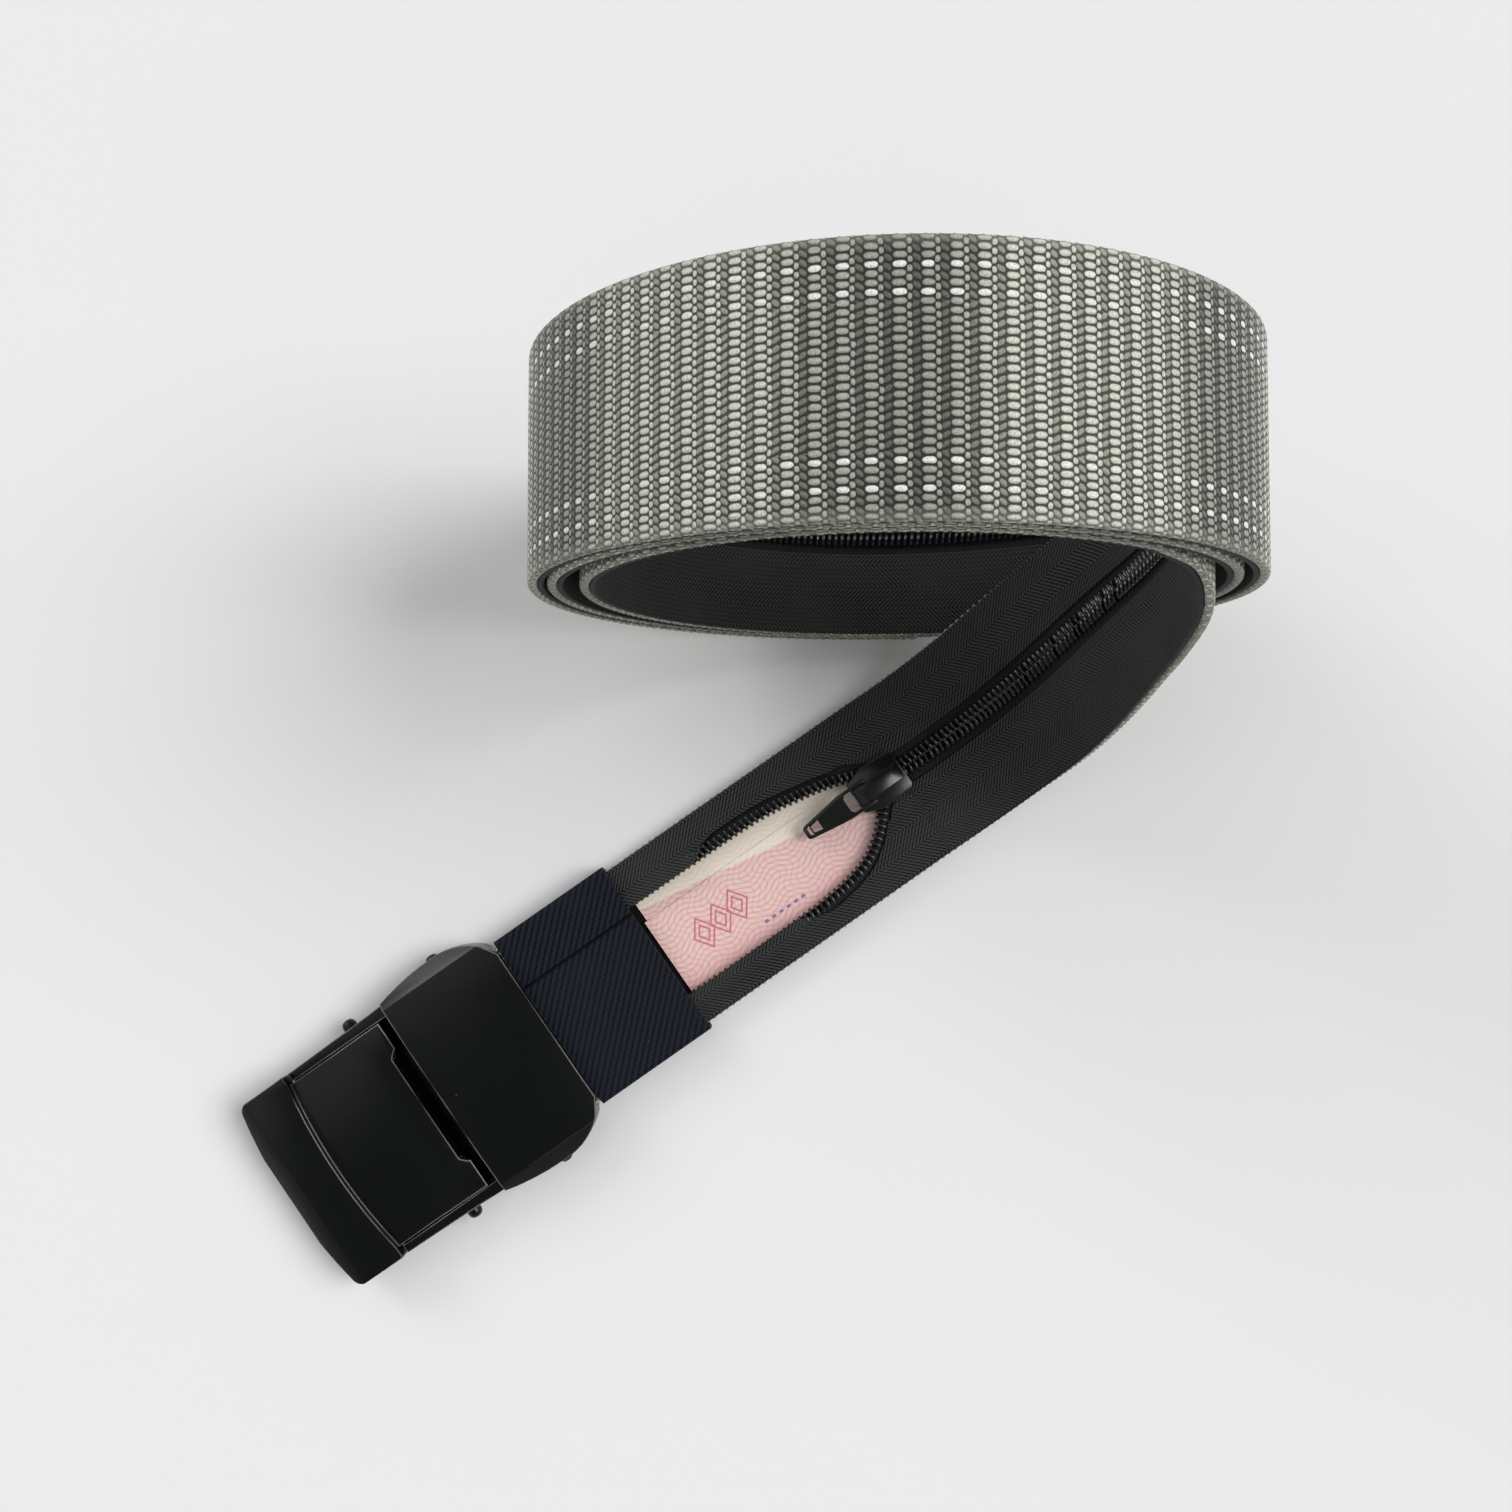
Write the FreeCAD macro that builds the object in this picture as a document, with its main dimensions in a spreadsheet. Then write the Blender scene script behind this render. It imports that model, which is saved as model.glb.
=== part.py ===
"""Travel money belt: a rolled webbing belt with a zipped inner pocket and a cam buckle.

Millimetres, +Z up. The straight run of the belt lies along +X on the table, the buckle at
its -X end. The rest of the belt is rolled up and stands on its edge like a wheel. The origin
is on the table, under the buckle's cover, on the belt's centre line.
"""
import FreeCAD, Part
import math
import os

from FreeCAD import Vector

# Driving dimensions, all in mm or degrees
DIMENSIONS = {
    "belt_width": 38.0,
    "webbing_thick": 1.6,
    "tape_thick": 0.35,
    "lining_thick": 0.55,
    "teeth_high": 1.15,
    "teeth_wide": 1.9,
    "layer_gap": 0.05,
    "lining_margin": 0.4,
    "strip_lift": 0.85,
    "zip_centre": 1.5,
    "coil_turn_deg": 34.84,
    "coil_foot_x": 115.8,
    "coil_foot_y": 27.7,
    "coil_axis_high": 60.9,
    "coil_start_deg": 50.0,
    "coil_end_deg": 1000.0,
    "zip_end_deg": 320.0,
    "strip_end": 105.0,
    "keeper_start": 18.0,
    "keeper_end": 44.0,
    "keeper_thick": 0.8,
    "flap_thick": 0.5,
    "seam_y": 8.5,
    "fold_end": 39.0,
    "nose_end": -45.9,
    "nose_corner": -43.6,
    "nose_back": -32.2,
    "rim_bow": 1.7,
    "cheek_front": -31.7,
    "cheek_back": 13.2,
    "cheek_inside": 20.0,
    "cheek_high": 6.4,
    "base_thick": 1.0,
    "base_back": 8.0,
    "lever_pin_x": -16.4,
    "lever_pin_z": 4.6,
    "slot_floor": -12.1,
    "slot_half": 12.6,
    "pin_radius": 1.5,
    "pin_length": 48.0,
    "clamp_pin_x": 5.0,
    "clamp_pin_z": 4.5,
    "strap_bar_x": 10.5,
    "strap_bar_z": 4.05,
    "fold_bend_deg": 38.0,
    "cover_front": -8.2,
    "cover_back": 17.4,
    "cover_high": 9.2,
    "cover_thick": 1.2,
    "cover_outside": 24.4,
    "slider_front": 95.0,
    "slider_back": 106.5,
    "slider_half": 4.9,
    "slider_floor": 3.2,
    "slider_plate": 0.6,
    "slider_roof": 5.75,
    "bridge_high": 8.8,
    "bridge_half": 1.8,
    "pull_pivot_x": 97.9,
    "pull_pivot_z": 7.12,
    "pull_tip_x": 82.4,
    "pull_drop": 1.6,
    "pull_thick": 0.9,
    "note_start": 44.8,
    "note_end": 97.0,
    "note_near": -11.9,
    "note_far": 9.7,
    "top_leaf_far": 5.5,
    "leaf_thick": 0.2,
    "backing_thick": 0.15,
}

# Outer radius of the roll at each quarter turn, from the innermost turn outwards
QUARTER_RADII = [52.6, 54.7, 52.1, 55.2, 56.8, 57.8, 57.4, 58.3, 60.8, 60.9, 60.6, 61.4]

# Where the run leaves the table and climbs inside the roll: (near edge, far edge) points in
# the roll's own frame, across it, along its axis and up
CLIMB_EDGES = [
    ((30.7, -35.2, 4.1), (9.1, -4.1, 7.1)),
    ((35.7, -31.3, 8.3), (15.1, 0.5, 11.3)),
    ((40.2, -27.6, 14.4), (20.4, 4.8, 15.1)),
    ((43.8, -24.1, 21.8), (26.1, 9.4, 19.4)),
    ((46.8, -20.1, 31.6), (32.6, 14.5, 25.2)),
    ((48.5, -16.8, 40.3), (39.2, 19.3, 33.0)),
    ((49.7, -13.6, 49.4), (46.0, 24.0, 44.6)),
    ((50.6, -10.5, 59.2), (49.7, 27.4, 55.3)),
    ((50.3, -6.6, 72.9), (51.2, 31.2, 69.0)),
    ((48.0, -3.7, 83.1), (49.3, 34.1, 80.0)),
    ((43.7, -1.0, 91.6), (43.7, 37.0, 91.6)),
]

# The first rise of the run: place along the belt, then height of the near and far edges
RISE = (113.0, 1.3, 3.4)

# The open mouth of the zip: place along the belt, then how far the near and the far rows
# stand from the closed line, and how high the zip is lifted
MOUTH = [
    (19.0, 13.4, 8.6, 0.0),
    (43.0, 13.4, 8.6, 0.0),
    (50.0, 13.5, 8.5, 0.9),
    (62.0, 13.6, 8.4, 1.4),
    (72.0, 13.5, 8.3, 1.45),
    (79.0, 13.1, 7.8, 1.45),
    (85.5, 12.2, 6.7, 1.45),
    (90.0, 10.8, 5.8, 1.45),
    (95.0, 7.6, 4.4, 1.45),
    (98.0, 4.6, 3.0, 1.45),
    (100.0, 2.2, 1.8, 1.45),
    (103.0, 0.25, 0.25, 1.45),
    (106.8, 0.03, 0.03, 1.45),
]

doc = FreeCAD.newDocument("MoneyBelt")
sheet = doc.addObject("Spreadsheet::Sheet", "Dimensions")
for row, (word, value) in enumerate(DIMENSIONS.items(), start=1):
    sheet.set(f"A{row}", word)
    sheet.set(f"B{row}", str(value))
    sheet.setAlias(f"B{row}", word)
doc.recompute()
NODES = []


def size(word):
    """The value of one named dimension."""
    return float(getattr(sheet, word))


def keep(obj, label, **bindings):
    """Name an object as one sub-part and bind its properties to the sheet."""
    obj.Label = label
    for path, expression in bindings.items():
        obj.setExpression(path.replace("__", "."), expression)
    NODES.append(obj)
    return obj


def feature(label, shape):
    """A sub-part whose shape is made from the sheet's sizes by Part's functions."""
    obj = doc.addObject("Part::Feature", label)
    obj.Shape = shape
    obj.Placement = FreeCAD.Placement()
    return keep(obj, label)


# Levels through the belt, measured from its grey outer face inwards
HALF = size("belt_width") / 2
GAP = size("layer_gap")
TAPE_LOW = size("webbing_thick") + GAP
TAPE_TOP = TAPE_LOW + size("tape_thick")
LINING_LOW = TAPE_TOP + GAP
LINING_TOP = LINING_LOW + size("lining_thick")
TEETH_LOW = TAPE_TOP + GAP
TEETH_TOP = TEETH_LOW + size("teeth_high")
LINING_EDGE = HALF - size("lining_margin")
ZIP = size("zip_centre")
LIFT = size("strip_lift")
TAPE_REACH = 8.0
TAPE_WIDE = 3.2
FLAT_REACH = 5.3
LINING_SETBACK = 3.7
MOUTH_LIFT = 1.45
POCKET_START = 19.0


class Route:
    """A flat route of lines and arcs, with the belt's inner side to the left of its heading."""

    def __init__(self):
        self.runs = []

    def line(self, start, end):
        """Add a straight run."""
        along = (end - start).normalize()
        left = Vector(-along.z, 0, along.x)
        self.runs.append(lambda n, s=start, e=end, side=left: Part.LineSegment(s + side * n, e + side * n))

    def arc(self, start, heading, end):
        """Add an arc that leaves start along heading and ends at end."""
        left = Vector(-heading.z, 0, heading.x)
        chord = end - start
        radius = chord.dot(chord) / (2 * chord.dot(left))
        centre = start + left * radius
        middle_way = (start + end) * 0.5 - centre
        middle = centre + middle_way.normalize() * abs(radius)

        def offset(n, points=(start, middle, end), hub=centre, reach=radius):
            moved = [hub + (p - hub) * ((reach - n) / reach) for p in points]
            return Part.Arc(*moved)

        self.runs.append(offset)
        turn = (start - centre).getAngle(end - centre)
        turn = turn if radius > 0 else -turn
        spin = FreeCAD.Rotation(Vector(0, -1, 0), math.degrees(turn))
        return spin.multVec(heading)

    def slab(self, low, high, near, far):
        """The solid between two levels and two edges of a belt that follows this route."""
        outer = [run(low).toShape() for run in self.runs]
        inner = [run(high).toShape() for run in self.runs]
        start = Part.LineSegment(outer[0].firstVertex(True).Point, inner[0].firstVertex(True).Point)
        end = Part.LineSegment(outer[-1].lastVertex(True).Point, inner[-1].lastVertex(True).Point)
        edges = outer + [end.toShape()] + inner[::-1] + [start.toShape()]
        face = Part.Face(Part.Wire(Part.__sortEdges__(edges)))
        face.translate(Vector(0, near, 0))
        return face.extrude(Vector(0, far - near, 0))


def roll_radius(degrees):
    """Outer radius of the roll, eased from one quarter turn to the next."""
    quarter = min(int(degrees // 90), len(QUARTER_RADII) - 2)
    part_way = min((degrees - 90 * quarter) / 90, 1.0)
    ease = (1 - math.cos(math.pi * part_way)) / 2
    low, high = QUARTER_RADII[quarter : quarter + 2]
    return low + (high - low) * ease


def roll_point(degrees, level=0.0):
    """A point of the roll in its own frame: across, 0, up."""
    angle = math.radians(degrees)
    reach = roll_radius(degrees) - level
    return Vector(reach * math.cos(angle), 0, size("coil_axis_high") + reach * math.sin(angle))


def roll_heading(degrees):
    """The direction in which the belt winds at an angle of the roll."""
    step = 0.01
    return (roll_point(degrees + step) - roll_point(degrees - step)).normalize()


def roll_route(start, end):
    """The roll from one angle to another, as two arcs to each eighth of a turn."""
    route = Route()
    count = max(1, round((end - start) / 45))
    stops = [start + (end - start) * i / count for i in range(count + 1)]
    heading = roll_heading(start)
    for here, there in zip(stops, stops[1:]):
        first, last = roll_point(here), roll_point(there)
        leave, arrive = heading, roll_heading(there)
        across, both = last - first, leave + arrive
        slack = 2 * (1 - leave.dot(arrive))
        lead = across.dot(both)
        handle = (-lead + math.sqrt(lead * lead + slack * across.dot(across))) / slack
        joint = (first + leave * handle + last - arrive * handle) * 0.5
        turned = route.arc(first, leave, joint)
        heading = route.arc(joint, turned, last)
    return route


ROLL_PLACE = FreeCAD.Placement(
    Vector(size("coil_foot_x"), size("coil_foot_y"), 0),
    FreeCAD.Rotation(Vector(0, 0, 1), -size("coil_turn_deg")),
)


def roll_slab(start, end, low, high, near, far):
    """A layer of the roll, placed where the roll stands. Edges are measured across the belt."""
    slab = roll_route(start, end).slab(low, high, near + HALF, far + HALF)
    return slab.transformed(ROLL_PLACE.toMatrix(), True)


def spline(points, steps):
    """Points on a smooth curve through the given ones."""
    found = []
    padded = [points[0] * 2 - points[1], *points, points[-1] * 2 - points[-2]]
    for before, here, there, after in zip(padded, padded[1:], padded[2:], padded[3:]):
        for i in range(steps):
            t = i / steps
            bend = (before * -1 + here * 3 - there * 3 + after) * t**3
            bend = bend + (before * 2 - here * 5 + there * 4 - after) * t**2
            found.append(here + (bend + (there - before) * t) * 0.5)
    return found + [points[-1]]


def climb_frames():
    """Centre, width and inward directions of the belt from the table up to the roll."""
    rise, low, high = RISE
    near = [Vector(size("strip_end"), -HALF, LIFT), Vector(rise, -HALF, low)]
    far = [Vector(size("strip_end"), HALF, LIFT), Vector(rise, HALF, high)]
    near += [ROLL_PLACE.multVec(Vector(*n)) for n, f in CLIMB_EDGES]
    far += [ROLL_PLACE.multVec(Vector(*f)) for n, f in CLIMB_EDGES]
    top = roll_point(size("coil_start_deg"))
    near.append(ROLL_PLACE.multVec(top))
    far.append(ROLL_PLACE.multVec(top + Vector(0, size("belt_width"), 0)))
    near, far = spline(near, 3), spline(far, 3)
    centres = [(n + f) * 0.5 for n, f in zip(near, far)]
    frames = []
    for i, centre in enumerate(centres):
        width = (far[i] - near[i]).normalize()
        along = centres[min(i + 1, len(centres) - 1)] - centres[max(i - 1, 0)]
        if i == 0:
            along = Vector(1, 0, 0)
        if i == len(centres) - 1:
            along = ROLL_PLACE.Rotation.multVec(roll_heading(size("coil_start_deg")))
        frames.append((centre, width, along.cross(width).normalize()))
    return frames


CLIMB = climb_frames()


def ring(points):
    """A closed wire through the given points."""
    return Part.makePolygon([*points, points[0]])


def placed(frame, outline):
    """An outline of (across, level) points, set up on one frame of the belt."""
    centre, width, inward = frame
    return ring([centre + width * w + inward * n for w, n in outline])


def flat_frame(x):
    """The frame of the belt where it lies along the table."""
    return Vector(x, 0, LIFT), Vector(0, 1, 0), Vector(0, 0, 1)


def tape_outline(side, row, lift):
    """One zip tape: side is 1 for the far half and -1 for the near half."""
    inner = ZIP + side * (row + 0.05)
    bend = ZIP + side * max(FLAT_REACH, row + 0.1)
    outer = ZIP + side * max(TAPE_REACH, row + TAPE_WIDE)
    outer = side * min(side * outer, LINING_EDGE - 1.5)
    low, top = TAPE_LOW, TAPE_TOP
    return [
        (inner, low + lift),
        (bend, low + lift),
        (outer, low),
        (outer, top),
        (bend, top + lift),
        (inner, top + lift),
    ]


def lining_outline(side, row, lift):
    """One half of the lining, which lies on its tape and is hemmed down at the edge."""
    bend, tape_out = (point[0] for point in tape_outline(side, row, lift)[1:3])
    step = tape_out + side * 0.3
    inner = side * min(side * ZIP + row + LINING_SETBACK, side * step - 0.6)
    knee = side * max(side * bend, side * inner + 0.1)
    edge = side * LINING_EDGE

    def lifted(across, level):
        share = min(1.0, (tape_out - across) / (tape_out - bend))
        return across, level + lift * max(0.0, share)

    return [
        lifted(inner, LINING_LOW),
        lifted(knee, LINING_LOW),
        (step, LINING_LOW),
        (step, TAPE_LOW),
        (edge, TAPE_LOW),
        (edge, LINING_TOP),
        (step, LINING_TOP),
        lifted(knee, LINING_TOP),
        lifted(inner, LINING_TOP),
    ]


def teeth_outline(side, row, lift):
    """One row of zip teeth on the edge of its tape."""
    inner = ZIP + side * row
    outer = inner + side * size("teeth_wide")
    low, top = TEETH_LOW + lift, TEETH_TOP + lift
    return [(inner, low), (outer, low), (outer, top), (inner, top)]


def settling_lift(index):
    """How high the closed zip is still lifted at one frame of the climb."""
    return max(0.0, MOUTH_LIFT * (1 - index / 4))


def belt_loft(outline, start, side):
    """A strip of the pocket from start up to the roll, its outline changing with the mouth."""
    rows = [(x, far if side > 0 else near, lift) for x, near, far, lift in MOUTH if x >= start]
    rings = [placed(flat_frame(x), outline(side, row, lift)) for x, row, lift in rows]
    closed = rows[-1][1]
    for i, frame in enumerate(CLIMB[1:], start=1):
        rings.append(placed(frame, outline(side, closed, settling_lift(i))))
    return Part.makeLoft(rings, True, True)


def make_webbing():
    """The grey webbing: a fold round the strap bar, the run on the table, and the roll."""
    thick = size("webbing_thick")
    top = LIFT + LINING_TOP + GAP + thick
    bar_x, bar_z = size("strap_bar_x"), size("strap_bar_z")
    reach = bar_z - LIFT
    bend = math.radians(size("fold_bend_deg"))
    both = (bar_z + reach - top) / (1 - math.cos(bend))
    ramp = both * math.sin(bend)
    route = Route()
    left, right = Vector(-1, 0, 0), Vector(1, 0, 0)
    foot = Vector(bar_x + ramp, 0, top)
    crest = Vector(bar_x, 0, bar_z + reach)
    halfway = (foot + crest) * 0.5
    route.line(Vector(size("fold_end"), 0, top), foot)
    heading = route.arc(foot, left, halfway)
    route.arc(halfway, heading, crest)
    side = Vector(bar_x - reach, 0, bar_z)
    heading = route.arc(crest, left, side)
    route.arc(side, heading, Vector(bar_x, 0, LIFT))
    route.line(Vector(bar_x, 0, LIFT), Vector(size("strip_end"), 0, LIFT))
    run = route.slab(0, thick, -HALF, HALF)
    band = [(-HALF, 0), (HALF, 0), (HALF, thick), (-HALF, thick)]
    climb = Part.makeLoft([placed(frame, band) for frame in CLIMB], True, True)
    roll = roll_slab(size("coil_start_deg"), size("coil_end_deg"), 0, thick, -HALF, HALF)
    whole = run.fuse([climb, roll]).removeSplitter()
    floor = Part.makeBox(400, 400, 5, Vector(-200, -200, -5))
    feature("webbing", whole.cut(floor))


def make_pocket():
    """The two halves of the lining, the zip tapes and the zip's rows of teeth."""
    start, end = size("coil_start_deg"), size("zip_end_deg")
    for name, side in (("far", 1), ("near", -1)):
        closed = MOUTH[-1][2]
        tape = tape_outline(side, closed, 0)
        lining = lining_outline(side, closed, 0)
        teeth = teeth_outline(side, closed, 0)

        across = sorted((tape[0][0], tape[2][0]))
        upper = roll_slab(start, end, TAPE_LOW, TAPE_TOP, *across)
        feature(f"zip_tape_{name}", belt_loft(tape_outline, POCKET_START, side).fuse(upper))

        across = sorted((lining[0][0], lining[2][0]))
        upper = roll_slab(start, end, LINING_LOW, LINING_TOP, *across)
        across = sorted((lining[3][0], lining[4][0]))
        hem = roll_slab(start, end, TAPE_LOW, LINING_TOP, *across)
        whole = belt_loft(lining_outline, POCKET_START, side).fuse([upper, hem])
        feature(f"lining_{name}", whole)

        across = sorted((teeth[0][0], teeth[1][0]))
        upper = roll_slab(start, end - 3, TEETH_LOW, TEETH_TOP, *across)
        first = flat_frame(size("slider_back") + 0.3)
        rings = [placed(first, teeth_outline(side, closed, MOUTH_LIFT))]
        for i, frame in enumerate(CLIMB[1:], start=1):
            rings.append(placed(frame, teeth_outline(side, closed, settling_lift(i))))
        feature(f"closed_teeth_{name}", Part.makeLoft(rings, True, True).fuse(upper))

        feature(f"open_teeth_{name}", open_teeth(side))

    wide = size("teeth_wide") + 0.4
    stop = roll_slab(end - 2.5, end - 0.5, TEETH_LOW, TEETH_TOP, ZIP - wide, ZIP + wide)
    feature("zip_end_stop", stop)
    last = size("coil_end_deg") - 1
    tail = roll_slab(end + 0.5, last, TAPE_LOW, LINING_TOP, -LINING_EDGE, LINING_EDGE)
    feature("lining_tail", tail)


def open_teeth(side):
    """One parted row of teeth, from the keeper round the mouth to the slider."""
    rows = [(x, far if side > 0 else near, lift) for x, near, far, lift in MOUTH if x > 40]
    rings = [placed(flat_frame(x), teeth_outline(side, row, lift)) for x, row, lift in rows]
    return Part.makeLoft(rings, True, True)


def new_body(label):
    """An empty body that will be one sub-part."""
    body = doc.addObject("PartDesign::Body", label)
    return keep(body, label)


def new_sketch(body, plane, name):
    """A sketch on one of the body's own origin planes."""
    sketch = body.newObject("Sketcher::SketchObject", name)
    origin = [f for f in body.Origin.OriginFeatures if f.Role == plane][0]
    sketch.AttachmentSupport = [(origin, "")]
    sketch.MapMode = "FlatFace"
    return sketch


def outline(sketch, points):
    """Close a run of straight lines through the points."""
    flat = [Vector(a, b, 0) for a, b in points]
    for here, there in zip(flat, flat[1:] + flat[:1]):
        sketch.addGeometry(Part.LineSegment(here, there))


def pad(body, sketch, name, length, both_ways=False, reverse=False):
    """Raise a sketch into the body, its length bound to the sheet."""
    raised = body.newObject("PartDesign::Pad", name)
    raised.Profile = sketch
    raised.SideType = "Symmetric" if both_ways else "One side"
    raised.Reversed = reverse
    raised.setExpression("Length", length)
    doc.recompute()
    return raised


def cut(body, sketch, name, length, both_ways=True, reverse=False):
    """Cut a sketch out of the body, and make sure that it took something away."""
    before = body.Shape.Volume
    hollow = body.newObject("PartDesign::Pocket", name)
    hollow.Profile = sketch
    hollow.SideType = "Symmetric" if both_ways else "One side"
    hollow.Reversed = reverse
    hollow.setExpression("Length", length)
    doc.recompute()
    if body.Shape.Volume > before - 0.01:
        raise RuntimeError(f"{name} cuts nothing")
    return hollow


def circles(sketch, places, radius):
    """Round holes at (x, y) places of the sketch."""
    for x, y in places:
        sketch.addGeometry(Part.Circle(Vector(x, y, 0), Vector(0, 0, 1), radius))


def plan_arc(sketch, start, middle, end):
    """An arc through three (x, y) places of a sketch."""
    sketch.addGeometry(Part.Arc(*(Vector(x, y, 0) for x, y in (start, middle, end))))


def chain(sketch, points):
    """An open run of straight lines through the points, leaving out lines of no length."""
    flat = [Vector(a, b, 0) for a, b in points]
    for here, there in zip(flat, flat[1:]):
        if here != there:
            sketch.addGeometry(Part.LineSegment(here, there))


def cover_side(inset, side):
    """Plan points down one side of the cover, from its front to its back."""
    front, back = size("cover_front"), size("cover_back")
    out = size("cover_outside") - inset
    return [
        (front, side * (out - 1.8)),
        (front + 6.0, side * (out - 0.5)),
        (front + 12.2, side * out),
        (front + 19.0, side * (out - 0.9)),
        (front + 23.4, side * (out - 3.6)),
        (back - inset * 0.3, side * (out - 7.0)),
    ]


def cover_plan(sketch, inset, front, back):
    """Close the cover's rounded plan, inset from its outside, between two ends."""
    for side in (1, -1):
        points = cover_side(inset, side)
        plan_arc(sketch, *points[0:3])
        plan_arc(sketch, *points[2:5])
        chain(sketch, points[4:])
    far, near = cover_side(inset, 1), cover_side(inset, -1)
    chain(sketch, [far[-1], (back, far[-1][1]), (back, near[-1][1]), near[-1]])
    chain(sketch, [near[0], (front, near[0][1]), (front, far[0][1]), far[0]])


def cheek_outline(side):
    """Plan of one side wall of the buckle, which swells beside the clamp."""
    front, back = size("cheek_front"), size("cheek_back")
    inside = size("cheek_inside")
    out = size("cover_outside") - size("cover_thick") - 0.15
    return [
        (front, side * inside),
        (front, side * 21.7),
        (size("lever_pin_x"), side * 22.1),
        (size("cover_front") - 0.3, side * 22.4),
        (size("cover_front") - 0.3, side * (out - 2.0)),
        (size("cover_front") + 6.0, side * (out - 0.7)),
        (size("clamp_pin_x"), side * (out - 0.2)),
        (back - 3.0, side * (out - 1.5)),
        (back, side * (inside + 0.6)),
        (back, side * inside),
    ]


def make_buckle_frame():
    """The buckle's frame: a back plate between two side walls, bored for the three pins."""
    body = new_body("buckle_frame")
    plan = new_sketch(body, "XY_Plane", "FramePlan")
    side = size("cheek_inside") + 1.0
    front, back = size("cheek_front") - 1.5, size("base_back")
    outline(plan, [(front, -side), (back, -side), (back, side), (front, side)])
    pad(body, plan, "FrameBase", "Dimensions.base_thick")
    for name, way in (("Far", 1), ("Near", -1)):
        wall = new_sketch(body, "XY_Plane", f"Cheek{name}")
        outline(wall, cheek_outline(way))
        pad(body, wall, f"Wall{name}", "Dimensions.cheek_high")
    bores = new_sketch(body, "XZ_Plane", "PinBores")
    places = [
        (size("lever_pin_x"), size("lever_pin_z")),
        (size("clamp_pin_x"), size("clamp_pin_z")),
        (size("strap_bar_x"), size("strap_bar_z")),
    ]
    circles(bores, places, size("pin_radius") + 0.02)
    cut(body, bores, "PinHoles", "Dimensions.pin_length * 2")


def lever_profile():
    """Side view of the cam lever: nose, sunken pan, hub and cam lip."""
    nose, back = size("nose_end"), size("nose_back")
    pin, height = size("lever_pin_x"), size("lever_pin_z")
    return [
        (nose + 1.2, 2.4),
        (nose, 4.4),
        (nose + 0.6, 6.2),
        (nose + 4.2, 8.0),
        (back, 8.9),
        (back + 0.1, 6.9),
        (pin - 6.0, 6.6),
        (pin - 1.0, 7.8),
        (pin + 5.3, 8.7),
        (pin + 6.1, 8.6),
        (pin + 5.7, 7.95),
        (pin + 3.0, height - 1.4),
        (pin + 1.5, height - 3.0),
        (pin - 1.5, height - 3.0),
        (pin - 3.6, height - 0.4),
        (pin - 7.0, 5.2),
        (back, 4.9),
        (back - 2.0, 2.4),
    ]


def make_cam_lever():
    """The flip lever: a full-width bowed nose, a sunken pan and the cam lip by the slot."""
    body = new_body("cam_lever")
    side = new_sketch(body, "XZ_Plane", "LeverSide")
    outline(side, lever_profile())
    pad(body, side, "LeverBody", "(Dimensions.cheek_inside - 0.4) * 2", both_ways=True)
    nose = new_sketch(body, "XZ_Plane", "NoseSide")
    points = lever_profile()
    outline(nose, points[:5] + points[-2:])
    pad(body, nose, "NoseBar", "Dimensions.cheek_inside * 2 + 3.4", both_ways=True)
    bore = new_sketch(body, "XZ_Plane", "LeverBore")
    circles(bore, [(size("lever_pin_x"), size("lever_pin_z"))], size("pin_radius") + 0.05)
    cut(body, bore, "LeverHole", "Dimensions.pin_length * 2")

    front = new_sketch(body, "XY_Plane", "NoseBow")
    end, corner, wide = size("nose_end"), size("nose_corner"), size("cheek_inside") + 1.7
    shoulder = wide - 1.7
    plan_arc(front, (corner, shoulder), (end, 0), (corner, -shoulder))
    for way in (1, -1):
        plan_arc(front, (corner, way * shoulder), (corner + 0.8, way * (wide - 0.5)), (corner + 2.4, way * wide))
    chain(front, [(corner + 2.4, -wide), (corner + 2.4, -wide - 2), (end - 2, -wide - 2)])
    chain(front, [(end - 2, -wide - 2), (end - 2, wide + 2), (corner + 2.4, wide + 2), (corner + 2.4, wide)])
    cut(body, front, "NoseFront", "Dimensions.pin_length")

    rim = new_sketch(body, "XY_Plane", "RimBow")
    rim.AttachmentOffset = FreeCAD.Placement(Vector(0, 0, 6.9), FreeCAD.Rotation())
    back, inside = size("nose_back"), size("cheek_inside") - 0.4
    plan_arc(rim, (back, inside), (back - size("rim_bow"), 0), (back, -inside))
    chain(rim, [(back, -inside), (back + 0.5, -inside), (back + 0.5, inside), (back, inside)])
    cut(body, rim, "PanRim", "Dimensions.cover_high", both_ways=False, reverse=True)

    lip = new_sketch(body, "XY_Plane", "SlotPlan")
    tip, floor, reach = size("lever_pin_x") + 8.0, size("slot_floor"), size("slot_half")
    slot = [(tip, reach + 1.0), (floor + 1.4, reach + 0.8), (floor, reach - 0.6)]
    outline(lip, slot + [(x, -y) for x, y in reversed(slot)])
    cut(body, lip, "LipSlot", "Dimensions.pin_length")


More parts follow.
